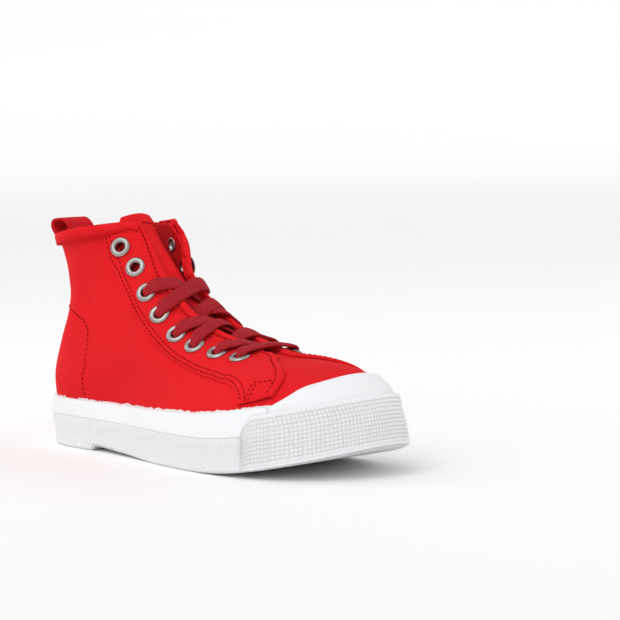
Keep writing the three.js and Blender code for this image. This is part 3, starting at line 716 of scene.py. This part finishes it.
RED, RED_SHADE = colour(0.86, 0.013, 0.019), colour(0.6, 0.006, 0.01)
canvas = woven("red_canvas", RED, RED_SHADE, 1.0, 0.2, latex=True)
webbing = woven("red_webbing", colour(0.66, 0.012, 0.02), colour(0.5, 0.006, 0.012), 1.3, 0.2)
twill = woven("red_lining", colour(0.68, 0.011, 0.017), colour(0.42, 0.005, 0.009), 0.9, 0.15)
lace_braid = braided("crimson_braid", colour(0.62, 0.014, 0.028), colour(0.36, 0.005, 0.011))
# Painted shadow: the thread is the canvas's own red, coloured much darker to stand for the shadow of stitches sunk
# into the cloth.
thread = spun("red_thread_dark_as_shadow", colour(0.44, 0.003, 0.006), colour(0.27, 0.002, 0.003))
smooth_rubber = moulded("white_rubber", None)
side_rubber = moulded("white_rubber_diamonds", "diamonds")
tread_rubber = moulded("white_rubber_tread", "tread")
studded_rubber = moulded("white_rubber_studs", "studs")
nickel = plated("satin_nickel")


# Rubber parts

def edge_inset(foot, height):
    rounding = smoothstep(0, 1, toeward(foot))
    flare = SOLE_FLARE * (1 - min(1, height / OUTSOLE_HEIGHT)) * (1 - rounding)
    return flare + TOE_LEAN * rounding * (height / look_up(BUMPER_TOP, foot)) ** 1.7


def band_point(foot, side, height, top, clearance):
    share = clamp((height - OUTSOLE_HEIGHT) / (top - OUTSOLE_HEIGHT))
    x, y = outline(foot, side, edge_inset(foot, min(height, OUTSOLE_HEIGHT)))
    lip = hug(foot, side, top, clearance + BAND_LIP)
    return Vector((mix(x, lip.x, share), mix(y, lip.y, share), spring_at(foot) + height))


def bumper_top(foot):
    into = clamp((foot - BUMPER_START) / BUMPER_CORNER)
    return look_up(BUMPER_TOP, foot) - BUMPER_CORNER * (1 - math.sqrt(1 - (1 - into) ** 2))


def make_outsole():
    corner = (HEEL_BREAST, HEEL_BREAST + BREAST_RUN, ARCH_END, BUMPER_START, BUMPER_START + 0.04)
    feet = feet_along(16, 4, 24, extra=corner)
    # Height above the underside and how far in: tread, rounded corner, lip line, plain side, top
    section = ((0, 14), (0, 3), (0, EDGE_ROUND), (0.35, 0.35), (EDGE_ROUND, 0), (2.3, -0.1), (2.6, 0.35),
               (3.0, 0.45), (9.3, 0.3), (14, 0.15), (18.35, 0), (OUTSOLE_HEIGHT, 0.3), (OUTSOLE_HEIGHT, 8))

    def place(foot, side):
        recess = BUMPER_THICKNESS + GAP if foot > BUMPER_START else 0
        line = []
        for height, inset in section:
            inset = inset if height < 0.5 or height == OUTSOLE_HEIGHT or not recess else max(inset, 0)
            x, y = outline(foot, side, edge_inset(foot, height) + (recess if height > 1 else recess * 0.2) + inset)
            low = (underside_at(foot) if foot < SPRING_START else spring_at(x)) + min(height, EDGE_ROUND)
            line.append(Vector((x, y, max(low, spring_at(x) + height))))
        return line

    bm = net(go_round(feet, place))
    close_holes(bm)
    for face in bm.faces:
        face.material_index = 1 if face.normal.z < -0.8 else 0
        if len(face.verts) > 4:
            face.smooth = False
    bmesh.ops.triangulate(bm, faces=[face for face in bm.faces if len(face.verts) > 4])
    piece("sole_unit", bm, (side_rubber, tread_rubber), ["outsole"])


def ragged(foot, side):
    """Uneven upper edge of the foxing."""
    waves = noise.noise(Vector((foot * 0.22, side * 7, 3)))
    frays = noise.noise(Vector((foot * 0.8, side * 5, 1)))
    return 0.45 * waves + 0.25 * frays


def make_foxing():
    corner = [BUMPER_START + x for x in (0, 0.3, 1, 2, 3.5, 5, 7, 9, 11, 12.5, 14, 15, 16)]
    feet = feet_along(20, 1.6, 26, end=FOXING_END, extra=(*corner, FOXING_END))

    def place(foot, side):
        top = look_up(FOXING_TOP, foot) + ragged(foot, side)
        low = (bumper_top(foot) if foot > BUMPER_START else OUTSOLE_HEIGHT) + 0.04
        top = mix(top, low + 0.8, smoothstep(FOXING_END - 4, FOXING_END, foot))
        line = [band_point(foot, side, low, top, GAP) + (hug(foot, side, low, 1) - hug(foot, side, low, 0)) * -0.15]
        line += [band_point(foot, side, mix(low, top, t), top, GAP) for t in (0.05, 0.3, 0.6)]
        line += [band_point(foot, side, top - 1.0, top, GAP)]
        line += [hug(foot, side, top - 0.45, GAP + BAND_LIP - 0.15), hug(foot, side, top - 0.1, GAP + BAND_LIP - 0.6)]
        line += [hug(foot, side, top, GAP + 0.3), hug(foot, side, top - 0.5, -0.2), hug(foot, side, low, 0)]
        return line + [line[0]]

    piece("foxing_band", net(go_round(feet, place)), (smooth_rubber,), ["foxing"])


def make_bumper():
    corner = [BUMPER_START + x for x in (0.05, 0.5, 1.8, 3.6, 5.5, 7.5, 9.5, 11.5, 13.5, 15.5)]
    feet = [f for f in feet_along(4, 2, 44, start=BUMPER_START + 18) if f > BUMPER_START + 18]
    feet = sorted({*corner, FOXING_END + 0.05, *feet})
    first = 3  # place of the studs' lowest edge in a section

    def place(foot, side):
        top = bumper_top(foot)
        capped = foot > FOXING_END
        clearance = 2 * LAYER_GAP + CAP_THICKNESS if capped else GAP
        full = top if capped else look_up(FOXING_TOP, foot)

        def outside(height, out=0.0):
            p = band_point(foot, side, height, full, clearance)
            q = p - Vector((TOE_CENTRE - 20, 0, p.z))
            return p + q.normalized() * out

        def behind(height):
            x, y = outline(foot, side, edge_inset(foot, height) + BUMPER_THICKNESS)
            return Vector((x, y, spring_at(x) + height))

        ledge = OUTSOLE_HEIGHT + GAP
        line = [outside(BUMPER_LOW), outside(0.6, 0.25), outside(1.9, 0.25), outside(2.1)]
        line += [outside(mix(2.1, top - 0.45, i / STUD_ROWS)) for i in range(1, STUD_ROWS + 1)]
        line += [outside(top - 0.3, 0.1), outside(top, -0.1), hug(foot, side, top, clearance - 0.3)]
        line += [hug(foot, side, ledge, clearance), behind(ledge), behind(BUMPER_LOW)]
        return line + [line[0]]

    bm = net(go_round_toe(feet, place))
    place_layer = bm.verts.layers.int["place"]
    last = first + STUD_ROWS
    studs = [face for face in bm.faces if all(first <= v[place_layer] <= last for v in face.verts)]
    # Painted shade mask: 1 at the corners where the studs meet, 0 at their tips and along the field's edge; the
    # rubber's finish darkens the grooves with it.
    painted_groove_shade = bm.verts.layers.float.new("painted_groove_shade")
    for v in bm.verts:
        v[painted_groove_shade] = 1.0 if first < v[place_layer] < last else 0.0
    poked = bmesh.ops.poke(bm, faces=studs, offset=STUD_HEIGHT / 1000)
    for v in poked["verts"]:
        v[painted_groove_shade] = 0.0
    for face in poked["faces"]:
        face.smooth = False
    close_holes(bm)
    piece("studded_bumper", bm, (studded_rubber,), ["toe_bumper"])


# Creases of the toe cap: foot, side, height as a share of the cap's
CAP_CREASES = ((228, OUTER, 0.12), (231, OUTER, 0.3), (234.5, OUTER, 0.5), (238, OUTER, 0.62), (242, OUTER, 0.7),
               (233, INNER, 0.4), (239, INNER, 0.6))


def make_cap():
    feet = feet_along(4, 2, 60, start=FOXING_END - 2, extra=(FOXING_END - 2,))
    columns = 26

    def place(foot, side):
        r = rib(foot, side)
        edge = r.rim * look_up(CAP_EDGE, foot) - 1.5 * max(0, FOXING_END - foot)
        return [r.at(mix(CAP_RISE, edge, j / columns)) for j in range(columns + 1)]

    lines = go_round_toe(feet, place)
    sides = go_round_toe(feet, lambda foot, side: (foot, side))
    last = len(lines) - 1

    def lift(i, j):
        foot, side = sides[i]
        high = j / columns
        edge = min(1.0, (1 - high) * 6) ** 0.5
        crease = 0.0
        for at, which, level in CAP_CREASES:
            if which == side:
                away = (foot - at - (high - level) * 5) / 1.1
                crease -= 0.45 * math.exp(-away * away) * math.exp(-((high - level) / 0.35) ** 2)
        side_end = min(1.0, min(i, last - i) / 2 + 0.2)
        return (LAYER_GAP + CAP_THICKNESS) * max(0.12, edge) * side_end + crease

    piece("smooth_cap", net(lines, lift), (smooth_rubber,), ["toe_cap"], CAP_THICKNESS)


# Cloth parts

def above_rubber(bm):
    """Marks how far each point lies above the foxing's top edge, for the smears of latex."""
    layer = bm.verts.layers.float.new("above_rubber")
    for v in bm.verts:
        p = v.co * 1000 - SHIFT
        if p.x <= TOE_CENTRE:
            foot = p.x
        else:
            dx, dy = (p.x - TOE_CENTRE) / (SOLE_LENGTH - TOE_CENTRE - TOE_INSET), abs(p.y - 2.5) / 44
            foot = mix(TOE_CENTRE, SOLE_LENGTH, dx / max(1e-6, math.hypot(dx, dy)))
        v[layer] = p.z - spring_at(foot) - look_up(FOXING_TOP, foot)


# Soft hollows and rolls of the canvas: foot, share of the rib, side, reach along, reach up, depth
FOLDS = (
    (52, 0.62, OUTER, 11, 0.10, -0.9), (52, 0.62, INNER, 11, 0.10, -0.9), (30, 0.45, OUTER, 9, 0.12, 0.5),
    (84, 0.50, OUTER, 14, 0.07, -0.6), (84, 0.50, INNER, 14, 0.07, -0.7), (70, 0.36, OUTER, 16, 0.06, 0.5),
    (120, 0.30, OUTER, 22, 0.07, -0.5), (120, 0.30, INNER, 22, 0.07, -0.6), (202, 0.72, OUTER, 7, 0.05, -0.5),
    (203, 0.80, INNER, 7, 0.06, -0.5), (214, 0.66, OUTER, 6, 0.04, 0.4), (24, 0.68, OUTER, 9, 0.05, -0.5),
    (24, 0.68, INNER, 9, 0.05, -0.5),
)


def fold(foot, share, side):
    depth = 0.0
    for at, level, which, along, up, deep in FOLDS:
        if which == side:
            depth += deep * math.exp(-((foot - at) / along) ** 2 - ((share - level) / up) ** 2)
    return depth


# Seam of the heel counter, from under the pull tab down to the foxing: foot and height
COUNTER_SEAM = ((12, 80), (24, 79.2), (36, 77.4), (44, 75.4), (49, 73.6), (52.5, 71), (55, 67.3), (56, 62.5),
                (56, 55), (55, 46.4), (53.6, 38), (55, 29.4))


def make_upper():
    feet = feet_along(26, 1.7, 44, extra=(THROAT_END,))
    rows = 72
    sides = go_round(feet, lambda foot, side: (foot, side))

    def place(foot, side):
        r = rib(foot, side)
        return [r.at(r.rim * j / rows) for j in range(rows + 1)]

    def lift(i, j):
        foot, side = sides[i]
        return fold(foot, j / rows, side) * min(1.0, (rows - j) / 8)

    bm = net(go_round(feet, place), lift)
    cut_eyelet_holes(bm)
    above_rubber(bm)
    piece("canvas_shell", bm, (canvas, twill), ["upper"], WALL, inner=1)


EYESTAY_COLUMNS = [tuple((i, row[k]) for i, row in enumerate(EYESTAY)) for k in range(4)]


def eyestay_point(side, row, back, front):
    """A place on the eyestay: millimetres from its rear edge, or if back is None from its front edge."""
    front_x, front_up, rear_x, rear_up = (look_up(table, row) for table in EYESTAY_COLUMNS)

    def at(t):
        foot = mix(rear_x, front_x, t)
        spot = Spot(foot, side)
        return foot, mix(spot.foxed, spot.rim, mix(rear_up, front_up, t))

    across = [at(k / 4) for k in range(5)]
    width = lengths_along([Spot(foot, side).at(distance) for foot, distance in across])[-1]
    return *at(back / width if back is not None else 1 - front / width), width


def make_eyestay(side):
    steps = 110
    filler = 12
    # Distances from the rear and the front edge, and heights over the foot form. The front edge is folded in
    # along the throat (wrap) and lies flat further down (plain).
    rear = (0, 0.25, 0.7, 1.3, 1.8, 2.2, 3.0, 4.1, 4.7, 5.4)
    front = (7.6, 6.9, 6.4, 5.9, 5.3, 4.6, 3.4, 2.2, 1.0, 0.2, -0.5, -0.9, -1.0, -0.6, 0.6, 4.5)
    rear_lift = (0.15, 0.8, 1.55, 1.65, 1.45, 1.6, 1.72, 1.5, 1.65, 1.7)
    wrap_lift = (1.7, 1.75, 2.1, 2.15, 1.95, 2.2, 2.25, 2.25, 2.2, 2.0, 1.4, 0.4, -0.7, -1.9, -2.5, -2.5)
    plain_lift = (1.7, 1.75, 2.1, 2.15, 1.95, 2.2, 2.2, 2.15, 2.0, 1.4, 0.5, 0.1, 0.05, 0.0, -0.4, -0.5)
    plain_front = (7.6, 6.9, 6.4, 5.9, 5.3, 4.6, 3.4, 2.2, 1.0, 0.3, 0.05, 0.0, 0.0, 0.0, 0.1, 0.8)
    lines, lifts = [], []
    for step in range(steps + 1):
        row = step / steps * (len(EYESTAY) - 1)
        wrap = 1 - smoothstep(9.2, 10.2, row)
        width = eyestay_point(side, row, 0, None)[2]
        places = [(back, None, up) for back, up in zip(rear, rear_lift)]
        places += [(mix(rear[-1], width - front[0], k / filler), None, LAYER_GAP + EYESTAY_THICKNESS)
                   for k in range(1, filler)]
        places += [(None, mix(*ways, wrap), mix(*ups, wrap))
                   for ways, ups in zip(zip(plain_front, front), zip(plain_lift, wrap_lift))]
        line = []
        for back, ahead, _ in places:
            foot, distance, _ = eyestay_point(side, row, back, ahead)
            line.append(Spot(foot, side).at(distance))
        lines.append(line)
        lifts.append([up for _, _, up in places])
    if side == INNER:
        lines.reverse()
        lifts.reverse()
    bm = net(lines, lambda i, j: lifts[i][j])
    cut_eyelet_holes(bm)
    above_rubber(bm)
    name = "outer" if side == OUTER else "inner"
    piece("lace_stay_" + name, bm, (canvas,), ["eyestay_" + name], FOLD_THICKNESS)


BAND_FRONT = 77.0  # foot at which the collar's hem ends, on the lace flap


def make_collar_band():
    feet = feet_along(22, 1.7, 4, end=BAND_FRONT, extra=(60, 61, 62, 63, 64, 76, 76.6, BAND_FRONT))
    steps = (-HEM_WIDTH, -6.1, -5.2, -4.4, -3.6, -2.4, -1.2, -0.3, 0.4, 0.8, 0.9, 0.5, -0.6, -5.5)
    lifts = (0.05, 0.7, 0.95, 0.75, 0.95, 1.05, 1.05, 0.95, 0.55, -0.1, -1.0, -2.1, -2.6, -2.5)
    sides = go_round(feet, lambda foot, side: (foot, side))

    def place(foot, side):
        r = rib(foot, side)
        return [r.at(r.rim + d) for d in steps]

    def lift(i, j):
        foot, _ = sides[i]
        over_stay = smoothstep(60.5, 63, foot) * 1.1
        ends = smoothstep(BAND_FRONT + 0.1, BAND_FRONT - 1, foot)
        return (lifts[j] + (over_stay if lifts[j] > 0 else 0)) * mix(0.75, 1, ends)

    bm = net(go_round(feet, place), lift)
    above_rubber(bm)
    piece("collar_binding", bm, (canvas,), ["collar_band"], FOLD_THICKNESS)


def tongue_line(x, widths):
    """Places on the foot form across the tongue; widths run from -1 to 1."""
    slope = (ridge_at(x + 1) - ridge_at(x - 1)) / 2
    out = Vector((-slope, 0, 1)).normalized()
    half = mix(TONGUE_HALF_TOP, TONGUE_HALF, smoothstep(71, 110, x))
    half *= 1 - 0.3 * smoothstep(76, TONGUE_TOP, x) ** 2
    return [onto_form(Vector((x, lean_at(x) + half * t, ridge_at(x))), out) for t in widths]


def facing_across(x, t):
    """Direction out of the tongue at a place across it."""
    left, right = tongue_line(x, (t - 0.05, t + 0.05))
    ahead = tongue_line(x + 1, (t,))[0] - tongue_line(x - 1, (t,))[0]
    return ahead.cross(right - left).normalized()


def make_tongue():
    count = 64
    across = 24
    widths = [-1 + 2 * k / across for k in range(across + 1)]
    lines, lifts = [], []
    for i in range(count + 1):
        x = mix(TONGUE_TOP, TONGUE_END, (i / count) ** 1.25)
        lines.append(tongue_line(x, widths))
        hem = 0.5 if x < 76.5 else 0.0
        bulge = 0.9 * math.exp(-((x - 92) / 12) ** 2) - 0.6 * math.exp(-((x - 78) / 5) ** 2)
        lifts.append([-TONGUE_DEPTH + max(hem, 0.4 if abs(t) > 0.8 else 0) + bulge * (1 - t * t) - 0.5 * abs(t) ** 4
                      for t in widths])
    bm = net(lines, lambda i, j: lifts[i][j])
    above_rubber(bm)
    piece("tongue_cloth", bm, (canvas,), ["tongue"], TONGUE_THICKNESS)


def spline(points, per):
    """A smooth line through points, with a number of steps between each two."""
    made = []
    for i in range(len(points) - 1):
        a, b = points[max(0, i - 1)], points[i]
        c, d = points[i + 1], points[min(len(points) - 1, i + 2)]
        for k in range(per):
            t = k / per
            made.append(0.5 * (2 * b + (c - a) * t + (2 * a - 5 * b + 4 * c - d) * t * t
                               + (3 * b - a - 3 * c + d) * t ** 3))
    return made + [points[-1]]


def make_pull_tab():
    # Each place on the path holds x, the radius of the strip's bend, and z
    path = [Vector((look_up(ANKLE_BACK, z) - LAYER_GAP - TAB_THICKNESS / 2, TAB_BEND, z)) for z in TAB_HEIGHTS]
    edge_x = look_up(ANKLE_BACK, COLLAR_BACK)
    for i, (x, z) in enumerate(TAB_LOOP):
        away = math.sin(i / (len(TAB_LOOP) - 1) * math.pi)
        path.append(Vector((edge_x + x, mix(TAB_BEND, TAB_LOOP_BEND, away), COLLAR_BACK + z)))
    path = spline(path, 5)
    widths = (-1, -0.97, -0.85, -0.7, -0.45, -0.2, 0, 0.2, 0.45, 0.7, 0.85, 0.97, 1)
    lines = []
    for step in path:
        bend = step.y
        lines.append([Vector((step.x + bend - math.sqrt(bend ** 2 - (TAB_HALF * t) ** 2), TAB_HALF * t, step.z))
                      for t in widths])
    bm = net(lines, lambda i, j: TAB_THICKNESS / 2 - (0.35 if j in (0, len(widths) - 1) else 0))
    piece("heel_loop", bm, (webbing,), ["pull_tab"], TAB_THICKNESS)


def make_insole():
    feet = feet_along(14, 5, 18)
    columns = 6

    def place(foot, side):
        edge = hug(foot, side, OUTSOLE_HEIGHT + GAP, -WALL - LAYER_GAP)
        x = min(edge.x, SOLE_LENGTH)
        z = spring_at(x) + OUTSOLE_HEIGHT + GAP
        low = Vector((edge.x, edge.y, z))
        top = Vector((edge.x, edge.y, z + INSOLE_THICKNESS - 0.6))
        middle_y = 2.5 * smoothstep(60, 190, foot)
        inner = Vector((edge.x, mix(edge.y, middle_y, 0.03), z + INSOLE_THICKNESS))
        return [low, top] + [inner.lerp(Vector((edge.x, middle_y, z + INSOLE_THICKNESS)), k / columns)
                             for k in range(columns + 1)]

    bm = net(go_round(feet, place))
    close_holes(bm)
    piece("insole_cloth", bm, (twill,), ["insole"])


# Eyelets, lace and stitching

def make_eyelets():
    profile = ((2.7, -2.3), (2.7, 2.2), (2.95, 2.6), (3.5, 3.0), (4.2, 3.15), (4.9, 3.0), (5.5, 2.6), (5.8, 2.15),
               (5.75, 1.9), (5.5, 1.78), (3.2, 1.78), (3.2, -1.9), (4.3, -1.9), (4.4, -2.2), (3.5, -2.55))
    joined = bmesh.new()
    for centre, out in EYELETS.values():
        bm = turned([(radius / 1000, height / 1000) for radius, height in profile], 36, 1e-6, closed=True)
        turn = Vector((0, 0, 1)).rotation_difference(out).to_matrix().to_4x4()
        bmesh.ops.transform(bm, matrix=Matrix.Translation((centre + SHIFT) / 1000) @ turn, verts=bm.verts)
        gather(joined, bm)
    nodes = [f"eyelet_{name}_{i}" for name in ("outer", "inner") for i in range(1, 9)]
    piece("nickel_eyelets", joined, (nickel,), nodes)


def strand(start, end, heights, down):
    """One stretch of lace. Heights are over the foot form at shares of the way; down ends it into its eyelet."""
    (a, out_a), (b, out_b) = start, end
    out_middle = (out_a + out_b).normalized()
    along = (b - a).normalized()
    # Each key holds a place, the direction out of the shoe there, and the lace's width as a share of its full one
    keys = [(a - out_a * 1.5 + along * 0.2, out_a, 0.5), (a + out_a * 2.2 + along * 0.5, out_a, 0.6)]
    if heights is BENEATH:
        keys = []
    for share, height in heights:
        on = onto_form(a.lerp(b, share), out_middle)
        out = (out_a.lerp(out_middle, min(1, share * 2)) if share < 0.5
               else out_middle.lerp(out_b, share * 2 - 1)).normalized()
        keys.append((on + out * height, out, 1.0))
    if down:
        keys += [(b + out_b * 2.2 - along * 0.5, out_b, 0.6), (b - out_b * 1.5 - along * 0.2, out_b, 0.5)]
    per = 7
    points = spline([k[0] for k in keys], per)
    outs = spline([k[1] for k in keys], per)
    widths = spline([Vector((k[2], 0, 0)) for k in keys], per)
    return points, outs, [w.x for w in widths]


def ribbon(points, outs, widths):
    """Lines of points round a flat lace with rounded edges."""
    lines = []
    count = 14
    for i, (p, out, width) in enumerate(zip(points, outs, widths)):
        ahead = points[min(i + 1, len(points) - 1)] - points[max(i - 1, 0)]
        across = out.cross(ahead).normalized()
        up = ahead.cross(across).normalized()
        half = LACE_WIDTH / 2 * width
        thick = LACE_HALF_THICKNESS / max(0.55, width)
        line = []
        for k in range(count + 1):
            angle = 2 * math.pi * k / count
            c, s = math.cos(angle), math.sin(angle)
            line.append(p + across * (half * math.copysign(abs(c) ** 0.6, c))
                        + up * (thick * math.copysign(abs(s) ** 0.8, s)))
        lines.append(line)
    return lines


# Heights of a stretch of lace over the foot form at shares of its way
OVER = ((0.09, 4.3), (0.2, 3.6), (0.33, 3.3), (0.5, 1.4), (0.64, -0.8), (0.76, -2.9), (0.95, -3.2))
UNDER = ((0.09, 4.3), (0.2, 3.5), (0.33, 2.9), (0.5, -0.7), (0.62, -2.0), (0.76, -2.9), (0.95, -3.2))
BAR = ((0.08, 4.4), (0.2, 4.0), (0.33, 3.8), (0.5, 3.8), (0.67, 3.8), (0.8, 4.0), (0.92, 4.4))
LAST = ((0.09, 4.4), (0.2, 3.6), (0.33, 3.4), (0.5, 3.2), (0.67, 4.0), (0.8, 4.6), (0.91, 5.0))
BENEATH = ((0.05, -3.0), (0.25, -3.0), (0.5, -2.2), (0.75, -3.0), (0.95, -3.0))
# Way of the lace from eyelet to eyelet
LACE_WAY = (
    (2, OUTER, 3, INNER, UNDER), (3, INNER, 4, OUTER, OVER), (4, OUTER, 5, INNER, UNDER), (5, INNER, 6, OUTER, OVER),
    (6, OUTER, 7, INNER, OVER), (7, INNER, 7, OUTER, BAR), (7, OUTER, 6, INNER, BENEATH),
    (6, INNER, 5, OUTER, UNDER), (5, OUTER, 4, INNER, OVER), (4, INNER, 3, OUTER, UNDER), (3, OUTER, 2, INNER, LAST),
)


def make_lace():
    joined = bmesh.new()
    for first, first_side, second, second_side, heights in LACE_WAY:
        over_the_top = heights in (BAR, LAST)
        stretch = strand(EYELETS[first, first_side], EYELETS[second, second_side], heights, over_the_top)
        bm = net(ribbon(*stretch))
        close_holes(bm)
        bmesh.ops.recalc_face_normals(bm, faces=bm.faces)
        gather(joined, bm)
    piece("flat_lace", joined, (lace_braid,), ["lace"])


def stitch_line(bm, points, outs, lift):
    walked, target = 0.0, STITCH_PITCH / 2
    for i in range(len(points) - 1):
        a, b = points[i], points[i + 1]
        span = (b - a).length
        while span > 0 and walked + span >= target:
            t = (target - walked) / span
            out = outs[i].lerp(outs[i + 1], t).normalized()
            add_stitch(bm, a.lerp(b, t) + out * lift, (b - a).normalized(), out)
            target += STITCH_PITCH
        walked += span


def stitch_row(bm, places, lift):
    """Stitches along places on the form, given as (foot, side, distance)."""
    stitch_line(bm, [Spot(f, s).at(d) for f, s, d in places], [facing(f, s, d) for f, s, d in places], lift)


def add_stitch(bm, centre, along, out):
    across = out.cross(along).normalized()
    out = along.cross(across).normalized()
    turn = Matrix((along, across, out)).transposed().to_4x4()
    size = Matrix.Diagonal((STITCH_LENGTH / 2000, STITCH_HALF_WIDTH / 1000, STITCH_HALF_HEIGHT / 1000, 1))
    bmesh.ops.create_uvsphere(bm, u_segments=7, v_segments=5, radius=1,
                              matrix=Matrix.Translation((centre + SHIFT) / 1000) @ turn @ size)


# Rows of stitches along the eyestay: distance from its rear edge or from its front edge, and height
EYESTAY_STITCHES = ((2.0, None, 1.7), (4.5, None, 1.7), (None, 5.3, 2.2))
# Rows on the patch that is sewn down at the eyestay's foot: foot and share of the rib at both ends
PATCH_STITCHES = (((209, 0.25), (226, 0.25)), ((209, 0.24), (207.5, 0.02)), ((212.3, 0.24), (210.3, 0.02)),
                  ((225.5, 0.23), (222.5, 0.03)))


def make_stitches():
    bm = bmesh.new()
    last_row = len(EYESTAY) - 1
    for side in (OUTER, INNER):
        rows = [k / 6 for k in range(3, last_row * 6 - 1)]
        for back, front, lift in EYESTAY_STITCHES:
            places = [eyestay_point(side, row, back, front) for row in rows]
            stitch_row(bm, [(foot, side, distance) for foot, distance, _ in places], lift)
        for start, end in PATCH_STITCHES:
            places = []
            for k in range(13):
                foot, up = (mix(a, b, k / 12) for a, b in zip(start, end))
                spot = Spot(foot, side)
                places.append((foot, side, mix(spot.foxed, spot.rim, up)))
            stitch_row(bm, places, LAYER_GAP + EYESTAY_THICKNESS + 0.1)
        collar = feet_along(22, 1.7, 4, start=3, end=BAND_FRONT - 1.5)
        for low, high, lift in ((0, 61.5, 1.05), (61.5, BAND_FRONT, 2.0)):
            stitch_row(bm, [(f, side, Spot(f, side).rim - COLLAR_STITCHES) for f in collar if low <= f <= high],
                       lift)
        seam = []
        for k in range(len(COUNTER_SEAM) * 6 - 5):
            foot, z = (look_up([(i, row[c]) for i, row in enumerate(COUNTER_SEAM)], k / 6) for c in (0, 1))
            r = rib(foot, side)
            seam.append((foot, side, r.reach([p.z for p in r.points], z)))
        stitch_row(bm, seam, 0.15)
    # Hem of the tongue
    hem = TONGUE_TOP + 4.6
    shares = [mix(-0.8, 0.8, k / 16) for k in range(17)]
    stitch_line(bm, tongue_line(hem, shares), [facing_across(hem, t) for t in shares], -2.3)
    for t in (-0.84, 0.84):
        xs = [mix(hem, 112, k / 24) for k in range(25)]
        stitch_line(bm, [tongue_line(x, (t,))[0] for x in xs], [facing_across(x, t) for x in xs], -2.4)
    smooth(bm)
    piece("stitching", bm, (thread,), [])


make_outsole()
make_foxing()
make_bumper()
make_cap()
make_insole()
make_upper()
make_eyestay(OUTER)
make_eyestay(INNER)
make_collar_band()
make_tongue()
make_pull_tab()
make_eyelets()
make_lace()
make_stitches()


# Studio

def make_floor():
    """A floor that turns up into a low wall far from the shoe."""
    bm = turned(((0, 0), (5, 0), (5.5, 0.1), (5.9, 0.4), (6.1, 0.9), (6.15, 1.6)), 64, 1e-5)
    bm.faces.ensure_lookup_table()
    if bm.faces[0].normal.z < 0:
        bmesh.ops.reverse_faces(bm, faces=bm.faces)
    f = Finish("pale_floor")
    f.look(Base_Color=f.blend(f.speckle(3), colour(0.96, 0.96, 0.96), colour(0.95, 0.95, 0.95)), Roughness=0.7)
    floor = add_object("studio_floor", mesh_of("studio_floor", bm, (f.material,)))


def area_light(name, position, target, size, power):
    light = bpy.data.lights.new(name, "AREA")
    light.shape = "RECTANGLE"
    light.size, light.size_y = size
    light.energy = power
    obj = add_object(name, light)
    obj.location = position
    obj.rotation_euler = (Vector(target) - Vector(position)).to_track_quat("-Z", "Y").to_euler()


make_floor()
sun = bpy.data.lights.new("key", "SUN")
sun.energy = 1.15
sun.angle = math.radians(50)
key = add_object("key", sun)
key.rotation_euler = Vector((-0.25, 0.75, -0.95)).to_track_quat("-Z", "Y").to_euler()
area_light("strip", (-0.9, -0.5, 0.9), (0, 0, 0.05), (0.5, 1.2), 2.5)
area_light("rim", (0.6, 1.1, 0.8), (0, 0, 0.05), (1.2, 0.5), 2)

world = bpy.data.worlds.new("studio")
world.use_nodes = True
background = world.node_tree.nodes["Background"].inputs
background["Color"].default_value = (1, 1, 1, 1)
background["Strength"].default_value = 0.64
bpy.context.scene.world = world
bpy.context.scene.view_settings.view_transform = "Standard"

# Camera: the photograph's place, turn, tilt and roll
CAMERA_PLACE = Vector((1171.846, -874.023, 193.871))
CAMERA_TURN, CAMERA_TILT, CAMERA_ROLL = 0.832687, 0.083941, -0.0204
CAMERA_FOCUS = 2481.99 / 620 * 36

camera_data = bpy.data.cameras.new("camera")
camera_data.sensor_width = 36
camera_data.lens = CAMERA_FOCUS
camera_data.clip_end = 50
camera = add_object("camera", camera_data)
back = Vector((math.sin(CAMERA_TURN) * math.cos(CAMERA_TILT), -math.cos(CAMERA_TURN) * math.cos(CAMERA_TILT),
               math.sin(CAMERA_TILT)))
right = (-back).cross(Vector((0, 0, 1))).normalized()
up = right.cross(-back)
rolled_right = right * math.cos(CAMERA_ROLL) + up * math.sin(CAMERA_ROLL)
rolled_up = up * math.cos(CAMERA_ROLL) - right * math.sin(CAMERA_ROLL)
turn = Matrix((rolled_right, rolled_up, back)).transposed().to_4x4()
camera.matrix_world = Matrix.Translation((CAMERA_PLACE + SHIFT) / 1000) @ turn
bpy.context.scene.camera = camera
